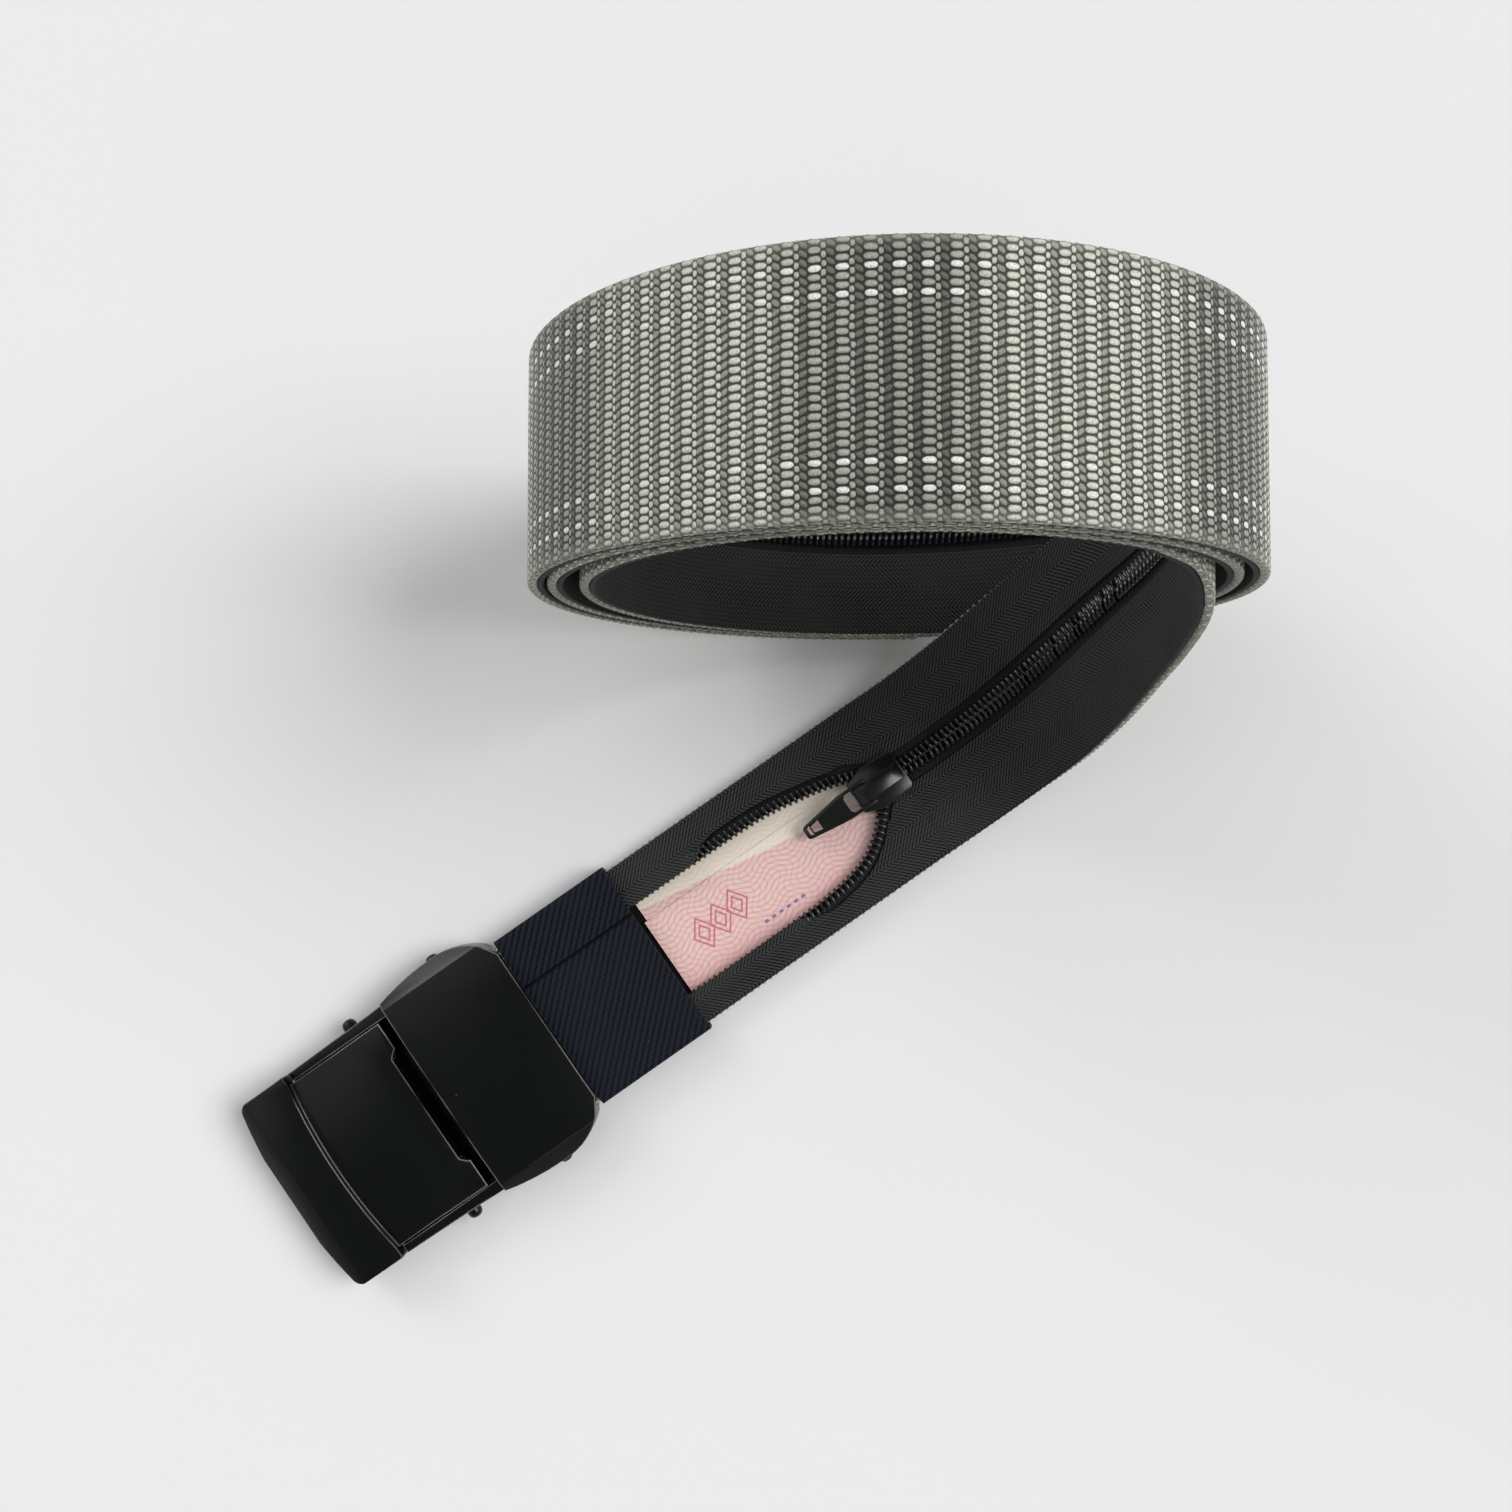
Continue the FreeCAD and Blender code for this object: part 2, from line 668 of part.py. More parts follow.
def make_cover_plate():
    """The cover: a crowned, round-cornered shell over the clamp and the belt's fold."""
    body = new_body("cover_plate")
    front, back = size("cover_front"), size("cover_back")
    out, top, thick = size("cover_outside"), size("cover_high"), size("cover_thick")
    foot, wall_top, crown = 1.2, 6.6, 12.0
    plan = new_sketch(body, "XY_Plane", "CoverPlan")
    cover_plan(plan, 0.0, front, back)
    pad(body, plan, "CoverBlock", "Dimensions.cover_high")

    above = new_sketch(body, "YZ_Plane", "CoverCrown")
    for way in (1, -1):
        slope = [(crown, top), (out - 3.2, top - 0.5), (out + 0.1, wall_top + 0.2), (out + 1, top + 1)]
        outline(above, [(way * y, z) for y, z in slope + [(crown, top + 1)]])
    cut(body, above, "CrownSlopes", "Dimensions.pin_length * 2")

    under = new_sketch(body, "XY_Plane", "CoverFoot")
    outline(under, [(front - 1, -30), (back + 1, -30), (back + 1, 30), (front - 1, 30)])
    cut(body, under, "FootTrim", str(foot), both_ways=False, reverse=True)

    for name, inset, height, end in (
        ("Lower", thick, wall_top - foot, back + 1),
        ("Upper", 4.0, top - thick - foot, back - thick),
    ):
        hollow = new_sketch(body, "XY_Plane", f"Cover{name}")
        hollow.AttachmentOffset = FreeCAD.Placement(Vector(0, 0, foot), FreeCAD.Rotation())
        cover_plan(hollow, inset, front - 1, end)
        cut(body, hollow, f"{name}Hollow", str(height), both_ways=False, reverse=True)

    mouth, belt_side = back - 6.0, HALF + 0.4
    opening = new_sketch(body, "XY_Plane", "BeltOpening")
    opening.AttachmentOffset = FreeCAD.Placement(Vector(0, 0, foot), FreeCAD.Rotation())
    corners = [(mouth, -belt_side), (back + 1, -belt_side), (back + 1, belt_side), (mouth, belt_side)]
    outline(opening, corners)
    cut(body, opening, "BeltMouth", str(wall_top - foot), both_ways=False, reverse=True)

    bores = new_sketch(body, "XZ_Plane", "CoverBores")
    circles(bores, [(size("clamp_pin_x"), size("clamp_pin_z"))], size("pin_radius") + 0.02)
    cut(body, bores, "CoverHoles", "Dimensions.pin_length * 2")


def make_pin(label, place, length):
    """A round pin across the buckle."""
    pin = doc.addObject("Part::Cylinder", label)
    turn = FreeCAD.Rotation(Vector(1, 0, 0), -90)
    pin.Placement = FreeCAD.Placement(Vector(0, 0, 0), turn)
    keep(
        pin,
        label,
        Radius="Dimensions.pin_radius",
        Height=length,
        Placement__Base__x=f"Dimensions.{place}_x",
        Placement__Base__y=f"-({length}) / 2",
        Placement__Base__z=f"Dimensions.{place}_z",
    )


def make_clamp_teeth():
    """The toothed bar between the walls, against which the cam lip grips the belt's free end."""
    body = new_body("clamp_teeth")
    side = new_sketch(body, "XZ_Plane", "TeethSide")
    face, back = size("cover_front") + 1.6, size("cover_front") + 5.0
    low, tooth, depth, count = 2.2, 1.1, 0.7, 4
    points = [(back, low)]
    for i in range(count):
        points += [(face, low + tooth * i), (face - depth, low + tooth * (i + 0.5))]
    points += [(face, low + tooth * count), (back, low + tooth * count)]
    outline(side, points)
    pad(body, side, "TeethBar", "Dimensions.cheek_inside * 2", both_ways=True)


def make_keeper():
    """The navy twill sleeve sewn round the belt and its folded end, with a lapped seam."""
    body = new_body("keeper_sleeve")
    thick = size("keeper_thick")
    side = HALF + 0.1
    roof = LIFT + LINING_TOP + GAP + size("webbing_thick") + GAP
    end = new_sketch(body, "YZ_Plane", "SleeveEnd")
    out, top = side + thick, roof + thick
    outline(end, [(-out, 0), (out, 0), (out, top), (-out, top)])
    outline(end, [(-side, thick), (side, thick), (side, roof), (-side, roof)])
    pad(body, end, "SleeveWall", "Dimensions.keeper_end - Dimensions.keeper_start")
    end.setExpression("AttachmentOffset.Base.z", "Dimensions.keeper_start")
    doc.recompute()
    flap = doc.addObject("Part::Box", "keeper_flap")
    keep(
        flap,
        "keeper_flap",
        Length="Dimensions.keeper_end - Dimensions.keeper_start - 0.4",
        Width="Dimensions.belt_width / 2 + Dimensions.seam_y",
        Height="Dimensions.flap_thick",
        Placement__Base__x="Dimensions.keeper_start + 0.2",
        Placement__Base__y="-Dimensions.belt_width / 2",
        Placement__Base__z=str(round(top + 0.02, 3)),
    )


def make_slider():
    """The zip slider: two plates joined by a wedge, with a bridge that carries the pull."""
    front, back, half = size("slider_front"), size("slider_back"), size("slider_half")
    floor, plate, roof = size("slider_floor"), size("slider_plate"), size("slider_roof")
    plan = [(front, -3.4), (front + 4, -half), (back - 0.8, -half + 0.3), (back, -half + 1.2)]
    plan += [(x, -y) for x, y in reversed(plan)]
    body = new_body("slider_body")
    for name, height in (("Floor", floor), ("Roof", roof)):
        sketch = new_sketch(body, "XY_Plane", f"Slider{name}")
        outline(sketch, [(x, y + ZIP) for x, y in plan])
        sketch.AttachmentOffset = FreeCAD.Placement(Vector(0, 0, height), FreeCAD.Rotation())
        pad(body, sketch, f"{name}Plate", "Dimensions.slider_plate")
        if name == "Floor":
            wedge = new_sketch(body, "XY_Plane", "SliderWedge")
            outline(wedge, [(front, ZIP - 1.2), (front + 3.4, ZIP), (front, ZIP + 1.2)])
            wedge.AttachmentOffset = FreeCAD.Placement(Vector(0, 0, floor + 0.1), FreeCAD.Rotation())
            pad(body, wedge, "Wedge", "Dimensions.slider_roof - Dimensions.slider_floor")
    bridge = new_body("slider_bridge")
    side = new_sketch(bridge, "XZ_Plane", "BridgeSide")
    low, high, post = roof + plate, size("bridge_high"), 1.6
    outer = [(front + 0.4, low), (front + 0.4, high - 0.8), (front + 1.6, high), (back - 3.2, high)]
    outer += [(back - 0.8, high - 1.0), (back - 0.6, low), (back - 3.0, low), (back - 3.6, high - 0.9)]
    inner = [(front + 0.6 + post, high - 0.9), (front + 0.4 + post, high - 1.1), (front + 0.4 + post, low)]
    outline(side, outer + inner)
    pad(bridge, side, "BridgeArch", "Dimensions.bridge_half * 2", both_ways=True)
    side.AttachmentOffset = FreeCAD.Placement(Vector(0, 0, -ZIP), FreeCAD.Rotation())
    doc.recompute()


def make_pull_tab():
    """The pull: a tapered, windowed blade whose two arms carry a bar under the bridge."""
    body = new_body("pull_tab")
    pivot, height = size("pull_pivot_x"), size("pull_pivot_z")
    tip, drop, thick = size("pull_tip_x"), size("pull_drop"), size("pull_thick")
    root, arm_out, eye = 90.3, 2.8, thick / 2
    bend = pivot - 3.9
    side = new_sketch(body, "XZ_Plane", "PullSide")
    top = [(pivot + eye, height + eye), (bend, height + eye), (tip, height + eye - drop)]
    outline(side, top + [(x, z - thick) for x, z in reversed(top)])
    pad(body, side, "PullBlade", f"{arm_out * 2}", both_ways=True)
    side.AttachmentOffset = FreeCAD.Placement(Vector(0, 0, -ZIP), FreeCAD.Rotation())
    doc.recompute()

    plan = new_sketch(body, "XY_Plane", "PullPlan")
    for way in (1, -1):
        taper = [(root + 1.5, arm_out), (root, arm_out - 0.2), (tip + 0.5, 1.5), (tip, 1.1)]
        outside = [(tip - 1, 1.1), (tip - 1, arm_out + 1), (root + 1.5, arm_out + 1)]
        outline(plan, [(x, ZIP + way * y) for x, y in taper + outside])
    slot = size("bridge_half") + 0.25
    gap = [(pivot - 5.2, -slot + 0.6), (pivot - 4.6, -slot), (pivot + 1, -slot)]
    outline(plan, [(x, ZIP + y) for x, y in gap + [(x, -y) for x, y in reversed(gap)]])
    for start, end in ((tip + 0.8, tip + 1.4), (tip + 1.7, tip + 3.6)):
        window = [(start, -0.7), (end, -1.05), (end, 1.05), (start, 0.7)]
        outline(plan, [(x, ZIP + y) for x, y in window])
    cut(body, plan, "PullShape", "Dimensions.pin_length")

    bar = new_sketch(body, "XZ_Plane", "PullBar")
    circles(bar, [(pivot, height)], eye)
    pad(body, bar, "PullBarRound", f"{arm_out * 2 - 0.4}", both_ways=True)
    bar.AttachmentOffset = FreeCAD.Placement(Vector(0, 0, -ZIP), FreeCAD.Rotation())
    doc.recompute()


def leaf_plan(start, far):
    """Plan of a note leaf, whose far end narrows with the mouth under the slider."""
    end, near = size("note_end"), size("note_near")
    narrow = [(87.0, near), (91.0, -10.4), (95.0, -7.6), (end, -5.6)]
    wide = [(end, min(far, 5.0)), (95.0, min(far, 7.0)), (91.0, min(far, 8.6)), (87.0, far)]
    return [(start, near), *narrow, *wide, (start, far)]


def make_note():
    """A folded paper note in the mouth of the pocket, on the pocket's thin backing."""
    start, far, margin = size("note_start"), size("note_far"), 0.1
    base = LIFT + size("webbing_thick") + 0.02
    leaf, backing = size("leaf_thick"), size("backing_thick")
    first = base + backing + 0.03
    second = first + leaf + GAP
    for label, low, begin, edge, thick in (
        ("pocket_backing", base, size("keeper_end") - 0.8, far + margin, "backing_thick"),
        ("note_under_leaf", first, start + 0.6, far, "leaf_thick"),
        ("note_top_leaf", second, start, size("top_leaf_far"), "leaf_thick"),
    ):
        body = new_body(label)
        plan = new_sketch(body, "XY_Plane", f"Plan_{label}")
        outline(plan, leaf_plan(begin, edge))
        plan.AttachmentOffset = FreeCAD.Placement(Vector(0, 0, low), FreeCAD.Rotation())
        pad(body, plan, f"Pad_{label}", f"Dimensions.{thick}")


def least_gap():
    """The least clear gap between one turn of the roll and the next, on sampled points."""
    found = math.inf
    angle = size("coil_start_deg")
    while angle + 360 <= size("coil_end_deg"):
        found = min(found, roll_radius(angle + 360) - LINING_TOP - roll_radius(angle))
        angle += 2
    return found


def climb_gap():
    """The least gap between the climbing run and the turn outside it, on sampled points."""
    found = math.inf
    back = ROLL_PLACE.inverse()
    for centre, width, inward in CLIMB:
        for i in range(39):
            point = back.multVec(centre + width * (i - HALF))
            if point.y < 0:
                continue
            rise = point.z - size("coil_axis_high")
            angle = math.degrees(math.atan2(rise, point.x)) % 360
            turns = [t for t in (angle, angle + 360) if t >= 240]
            outside = min(roll_radius(t) for t in turns)
            found = min(found, outside - LINING_TOP - math.hypot(point.x, rise))
    return found


make_webbing()
make_pocket()
make_buckle_frame()
make_cam_lever()
make_cover_plate()
make_pin("lever_pin", "lever_pin", "Dimensions.pin_length")
make_pin("clamp_pin", "clamp_pin", "Dimensions.pin_length + 2.4")
make_pin("strap_bar", "strap_bar", "(Dimensions.cheek_inside + 1.0) * 2")
make_clamp_teeth()
make_keeper()
make_slider()
make_pull_tab()
make_note()
doc.recompute()

for node in NODES:
    shape = node.Shape
    failed = {"Invalid", "Error"} & set(node.State)
    if failed or shape.isNull() or not shape.isValid():
        raise RuntimeError(f"{node.Label} did not build: {node.State}")
os.makedirs("parts", exist_ok=True)
for node in NODES:
    node.Shape.exportStep(f"parts/{node.Label}.step")
print(f"{len(NODES)} sub-parts")
print(f"least gap between turns {least_gap():.2f} mm")
print(f"least gap under the climbing run {climb_gap():.2f} mm")
for node in NODES:
    box = node.Shape.BoundBox
    sides = (box.XMin, box.XMax, box.YMin, box.YMax, box.ZMin, box.ZMax)
    print(f"{node.Label:18s} {len(node.Shape.Solids)}", *(f"{side:8.2f}" for side in sides))
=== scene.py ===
"""Travel money belt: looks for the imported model, in metres, with +Z up.

The belt lies along +X with its buckle at the -X end. Its far part is rolled up and stands on
its edge like a wheel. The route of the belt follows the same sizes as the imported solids.
"""

import logging
import math
from dataclasses import dataclass
from enum import Enum
from typing import Callable, Iterable, Sequence

import bmesh
import bpy
from mathutils import Matrix, Vector


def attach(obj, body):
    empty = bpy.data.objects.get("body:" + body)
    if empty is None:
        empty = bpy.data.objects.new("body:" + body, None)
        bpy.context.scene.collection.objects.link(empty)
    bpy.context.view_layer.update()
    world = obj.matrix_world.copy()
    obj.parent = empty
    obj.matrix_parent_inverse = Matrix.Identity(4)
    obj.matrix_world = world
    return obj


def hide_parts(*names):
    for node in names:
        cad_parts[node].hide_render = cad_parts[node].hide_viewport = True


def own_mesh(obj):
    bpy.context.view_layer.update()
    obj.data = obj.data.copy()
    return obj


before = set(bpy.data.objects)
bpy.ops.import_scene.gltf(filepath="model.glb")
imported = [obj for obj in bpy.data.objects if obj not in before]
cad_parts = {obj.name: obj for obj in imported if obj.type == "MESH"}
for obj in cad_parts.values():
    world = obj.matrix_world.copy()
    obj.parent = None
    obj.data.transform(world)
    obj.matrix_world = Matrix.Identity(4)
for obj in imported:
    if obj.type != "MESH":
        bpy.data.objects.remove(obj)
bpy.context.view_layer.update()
LOG = logging.getLogger("money_belt")
MM = 0.001
Outline = list[tuple[float, float]]
Socket = bpy.types.NodeSocket


# Node helpers


class Graph:
    """Writes the nodes of one tree with short calls."""

    def __init__(self, tree: bpy.types.NodeTree) -> None:
        """Take a tree to write into.

        Args:
            tree: A shader or geometry node tree.
        """
        self.tree = tree

    def add(self, kind: str, **settings: object) -> bpy.types.Node:
        """Add a node and set its properties.

        Args:
            kind: The node's type name.
            settings: Properties of the node.

        Returns:
            The new node.
        """
        node = self.tree.nodes.new(kind)
        for name, value in settings.items():
            setattr(node, name, value)
        return node

    def feed(self, socket: Socket, value: object) -> None:
        """Link a socket into an input, or write a plain value there.

        Args:
            socket: The input.
            value: An output socket, or a value.
        """
        if isinstance(value, bpy.types.NodeSocket):
            self.tree.links.new(value, socket)
        elif value is not None:
            socket.default_value = value

    def math(self, operation: str, *values: object, clamp: bool = False) -> Socket:
        """A Math node.

        Args:
            operation: Name of the operation.
            values: Up to three inputs.
            clamp: Whether the result is kept between 0 and 1.

        Returns:
            The result's socket.
        """
        node = self.add("ShaderNodeMath", operation=operation, use_clamp=clamp)
        for socket, value in zip(node.inputs, values):
            self.feed(socket, value)
        return node.outputs[0]

    def blend(self, share: object, low: object, high: object, kind: str = "MIX") -> Socket:
        """A colour mix.

        Args:
            share: How much of the second colour shows.
            low: First colour.
            high: Second colour.
            kind: Blend type.

        Returns:
            The mixed colour's socket.
        """
        node = self.add("ShaderNodeMix", data_type="RGBA", blend_type=kind)
        self.feed(node.inputs[0], share)
        self.feed(node.inputs[6], low)
        self.feed(node.inputs[7], high)
        return node.outputs[2]

    def step(self, value: object, low: float, high: float) -> Socket:
        """A smooth rise from 0 at low to 1 at high.

        Args:
            value: The input socket.
            low: Where the rise starts.
            high: Where it ends.

        Returns:
            The rise's socket.
        """
        node = self.add("ShaderNodeMapRange", interpolation_type="SMOOTHSTEP")
        self.feed(node.inputs[0], value)
        if low <= high:
            self.feed(node.inputs[1], low)
            self.feed(node.inputs[2], high)
            return node.outputs[0]
        self.feed(node.inputs[1], high)
        self.feed(node.inputs[2], low)
        return self.math("SUBTRACT", 1.0, node.outputs[0])

    def noise(self, where: object, scale: float, detail: float = 2.0) -> Socket:
        """A noise value.

        Args:
            where: Coordinates.
            scale: Scale of the noise.
            detail: Octaves of detail.

        Returns:
            The noise's value socket.
        """
        node = self.add("ShaderNodeTexNoise")
        self.feed(node.inputs["Vector"], where)
        self.feed(node.inputs["Scale"], scale)
        self.feed(node.inputs["Detail"], detail)
        return node.outputs[0]

    def axes(self, vector: Socket) -> tuple[Socket, Socket, Socket]:
        """The three parts of a vector."""
        node = self.add("ShaderNodeSeparateXYZ")
        self.feed(node.inputs[0], vector)
        return node.outputs[0], node.outputs[1], node.outputs[2]

    def vector(self, x: object, y: object, z: object) -> Socket:
        """A vector of three parts."""
        node = self.add("ShaderNodeCombineXYZ")
        for socket, value in zip(node.inputs, (x, y, z)):
            self.feed(socket, value)
        return node.outputs[0]

    def place(self, group: bpy.types.NodeTree, **values: object) -> bpy.types.Node:
        """Place a node group with its own values.

        Args:
            group: The group.
            values: Its inputs, with _ for a space in their names.

        Returns:
            The group node.
        """
        node = self.add(type(self.tree).__name__.replace("NodeTree", "NodeGroup"), node_tree=group)
        for name, value in values.items():
            self.feed(node.inputs[name.replace("_", " ")], value)
        return node


def colour(red: int, green: int, blue: int) -> tuple[float, float, float, float]:
    """A linear colour from the three numbers of a screen colour.

    Args:
        red: Red, 0 to 255.
        green: Green, 0 to 255.
        blue: Blue, 0 to 255.

    Returns:
        The linear colour with alpha 1.
    """

    def linear(part: int) -> float:
        share = part / 255
        return share / 12.92 if share <= 0.04045 else ((share + 0.055) / 1.055) ** 2.4

    return linear(red), linear(green), linear(blue), 1.0


class Groups:
    """Shader effects that several finishes share, each built once."""

    made: dict[str, bpy.types.NodeTree] = {}

    @classmethod
    def get(cls, name: str, inputs: dict[str, float], outputs: Sequence[str], write: Callable) -> bpy.types.NodeTree:
        """Find a group or build it.

        Args:
            name: Name of the group.
            inputs: Its number inputs with their defaults.
            outputs: Its outputs, each a number.
            write: Function that fills the group, given a Graph and its inputs.

        Returns:
            The group.
        """
        if name in cls.made:
            return cls.made[name]
        tree = bpy.data.node_groups.new(name, "ShaderNodeTree")
        vector = tree.interface.new_socket("Vector", in_out="INPUT", socket_type="NodeSocketVector")
        vector.default_value = (0, 0, 0)
        for word, value in inputs.items():
            made = tree.interface.new_socket(word, in_out="INPUT", socket_type="NodeSocketFloat")
            made.default_value = value
        for word in outputs:
            tree.interface.new_socket(word, in_out="OUTPUT", socket_type="NodeSocketFloat")
        graph = Graph(tree)
        source = graph.add("NodeGroupInput")
        found = write(graph, *(source.outputs[i] for i in range(1 + len(inputs))))
        target = graph.add("NodeGroupOutput")
        for socket, value in zip(target.inputs, found):
            graph.feed(socket, value)
        cls.made[name] = tree
        return tree

    @classmethod
    def edge_wear(cls) -> bpy.types.NodeTree:
        """Mask of edges that are partly scuffed and partly lit by a painted highlight, broken up by noise."""

        def write(graph: Graph, where: Socket, reach: Socket, amount: Socket) -> list[Socket]:
            bevel = graph.add("ShaderNodeBevel", samples=6)
            graph.feed(bevel.inputs["Radius"], reach)
            geometry = graph.add("ShaderNodeNewGeometry")
            meet = graph.add("ShaderNodeVectorMath", operation="DOT_PRODUCT")
            graph.feed(meet.inputs[0], bevel.outputs[0])
            graph.feed(meet.inputs[1], geometry.outputs["Normal"])
            turned = graph.math("SUBTRACT", 1.0, meet.outputs["Value"])
            # Sharply turned edges take a painted highlight as well as scuffing.
            edge = graph.step(turned, 0.004, 0.05)
            patchy = graph.step(graph.noise(where, 70.0, 2.0), 0.3, 0.56)
            worn = graph.math("MULTIPLY", edge, patchy)
            return [graph.math("MULTIPLY", worn, amount, clamp=True)]

        return cls.get("edge_wear", {"Reach": 0.0006, "Amount": 1.0}, ["Mask"], write)

    @classmethod
    def grain(cls) -> bpy.types.NodeTree:
        """Fine and broad unevenness of a coating."""

        def write(graph: Graph, where: Socket, scale: Socket) -> list[Socket]:
            fine = graph.noise(where, 1.0, 5.0)
            graph.feed(fine.node.inputs["Scale"], scale)
            broad = graph.noise(where, 60.0, 2.0)
            return [fine, broad]

        return cls.get("grain", {"Scale": 2500.0}, ["Fine", "Broad"], write)

    @classmethod
    def dust(cls) -> bpy.types.NodeTree:
        """Sparse light specks."""

        def write(graph: Graph, where: Socket, scale: Socket, share: Socket) -> list[Socket]:
            cells = graph.add("ShaderNodeTexVoronoi")
            graph.feed(cells.inputs["Vector"], where)
            graph.feed(cells.inputs["Scale"], scale)
            near = graph.step(cells.outputs["Distance"], 0.09, 0.03)
            pick = graph.axes(cells.outputs["Color"])[0]
            chosen = graph.math("LESS_THAN", pick, share)
            return [graph.math("MULTIPLY", near, chosen)]

        return cls.get("dust", {"Scale": 420.0, "Share": 0.05}, ["Mask"], write)

    @classmethod
    def weave(cls) -> bpy.types.NodeTree:
        """Over and under yarns of a plain cloth, from a pattern plane in millimetres."""

        def write(graph: Graph, where: Socket, pitch: Socket) -> list[Socket]:
            across, along, _ = graph.axes(where)
            turn = graph.math("DIVIDE", math.pi, pitch)
            first = graph.math("SINE", graph.math("MULTIPLY", across, turn))
            second = graph.math("SINE", graph.math("MULTIPLY", along, turn))
            both = graph.math("MULTIPLY", first, second)
            over = graph.math("GREATER_THAN", both, 0.0)
            warp = graph.math("ABSOLUTE", first)
            weft = graph.math("ABSOLUTE", second)
            high = graph.math("ADD", graph.math("MULTIPLY", over, warp), 0.0)
            low = graph.math("MULTIPLY", graph.math("SUBTRACT", 1.0, over), weft)
            height = graph.math("ADD", high, low)
            return [height, over]

        return cls.get("weave", {"Pitch": 0.45}, ["Height", "Over"], write)

    @classmethod
    def twill(cls) -> bpy.types.NodeTree:
        """Slanting ribs of twill, turned into herringbone where the turn is not 0."""

        def write(graph: Graph, where: Socket, pitch: Socket, slope: Socket, turn: Socket) -> list[Socket]:
            across, along, _ = graph.axes(where)
            half = graph.math("MULTIPLY", turn, 0.5)
            folded = graph.math("PINGPONG", across, half)
            straight = graph.math("COMPARE", turn, 0.0, 0.001)
            side = graph.add("ShaderNodeMix", data_type="FLOAT")
            graph.feed(side.inputs[0], straight)
            graph.feed(side.inputs[2], folded)
            graph.feed(side.inputs[3], across)
            slanted = graph.math("MULTIPLY_ADD", side.outputs[0], slope, along)
            rib = graph.math("FRACT", graph.math("DIVIDE", slanted, pitch))
            rise = graph.math("SINE", graph.math("MULTIPLY", rib, math.pi))
            knots = graph.math("SINE", graph.math("MULTIPLY", across, 7.0))
            height = graph.math("MULTIPLY_ADD", knots, 0.14, rise)
            return [height, rise]

        return cls.get("twill", {"Pitch": 0.9, "Slope": 1.0, "Turn": 0.0}, ["Height", "Rib"], write)


# Finishes


class Finish:
    """Base of the finishes: starts a material with a Principled shader."""

    name: str

    def start(self) -> tuple[bpy.types.Material, Graph, bpy.types.Node]:
        """Start the material.

        Returns:
            The material, a Graph on its tree and its Principled node.
        """
        material = bpy.data.materials.new(self.name)
        material.use_nodes = True
        graph = Graph(material.node_tree)
        return material, graph, material.node_tree.nodes["Principled BSDF"]

    def bump(self, graph: Graph, shader: bpy.types.Node, height: Socket, strength: float, reach: float) -> None:
        """Feed a height into the shader's normal.

        Args:
            graph: The material's Graph.
            shader: The Principled node.
            height: The height.
            strength: Strength of the Bump node.
            reach: Real height in metres.
        """
        node = graph.add("ShaderNodeBump")
        graph.feed(node.inputs["Strength"], strength)
        graph.feed(node.inputs["Distance"], reach)
        graph.feed(node.inputs["Height"], height)
        graph.feed(shader.inputs["Normal"], node.outputs[0])

    def build(self) -> bpy.types.Material:
        """The finished material."""
        raise NotImplementedError


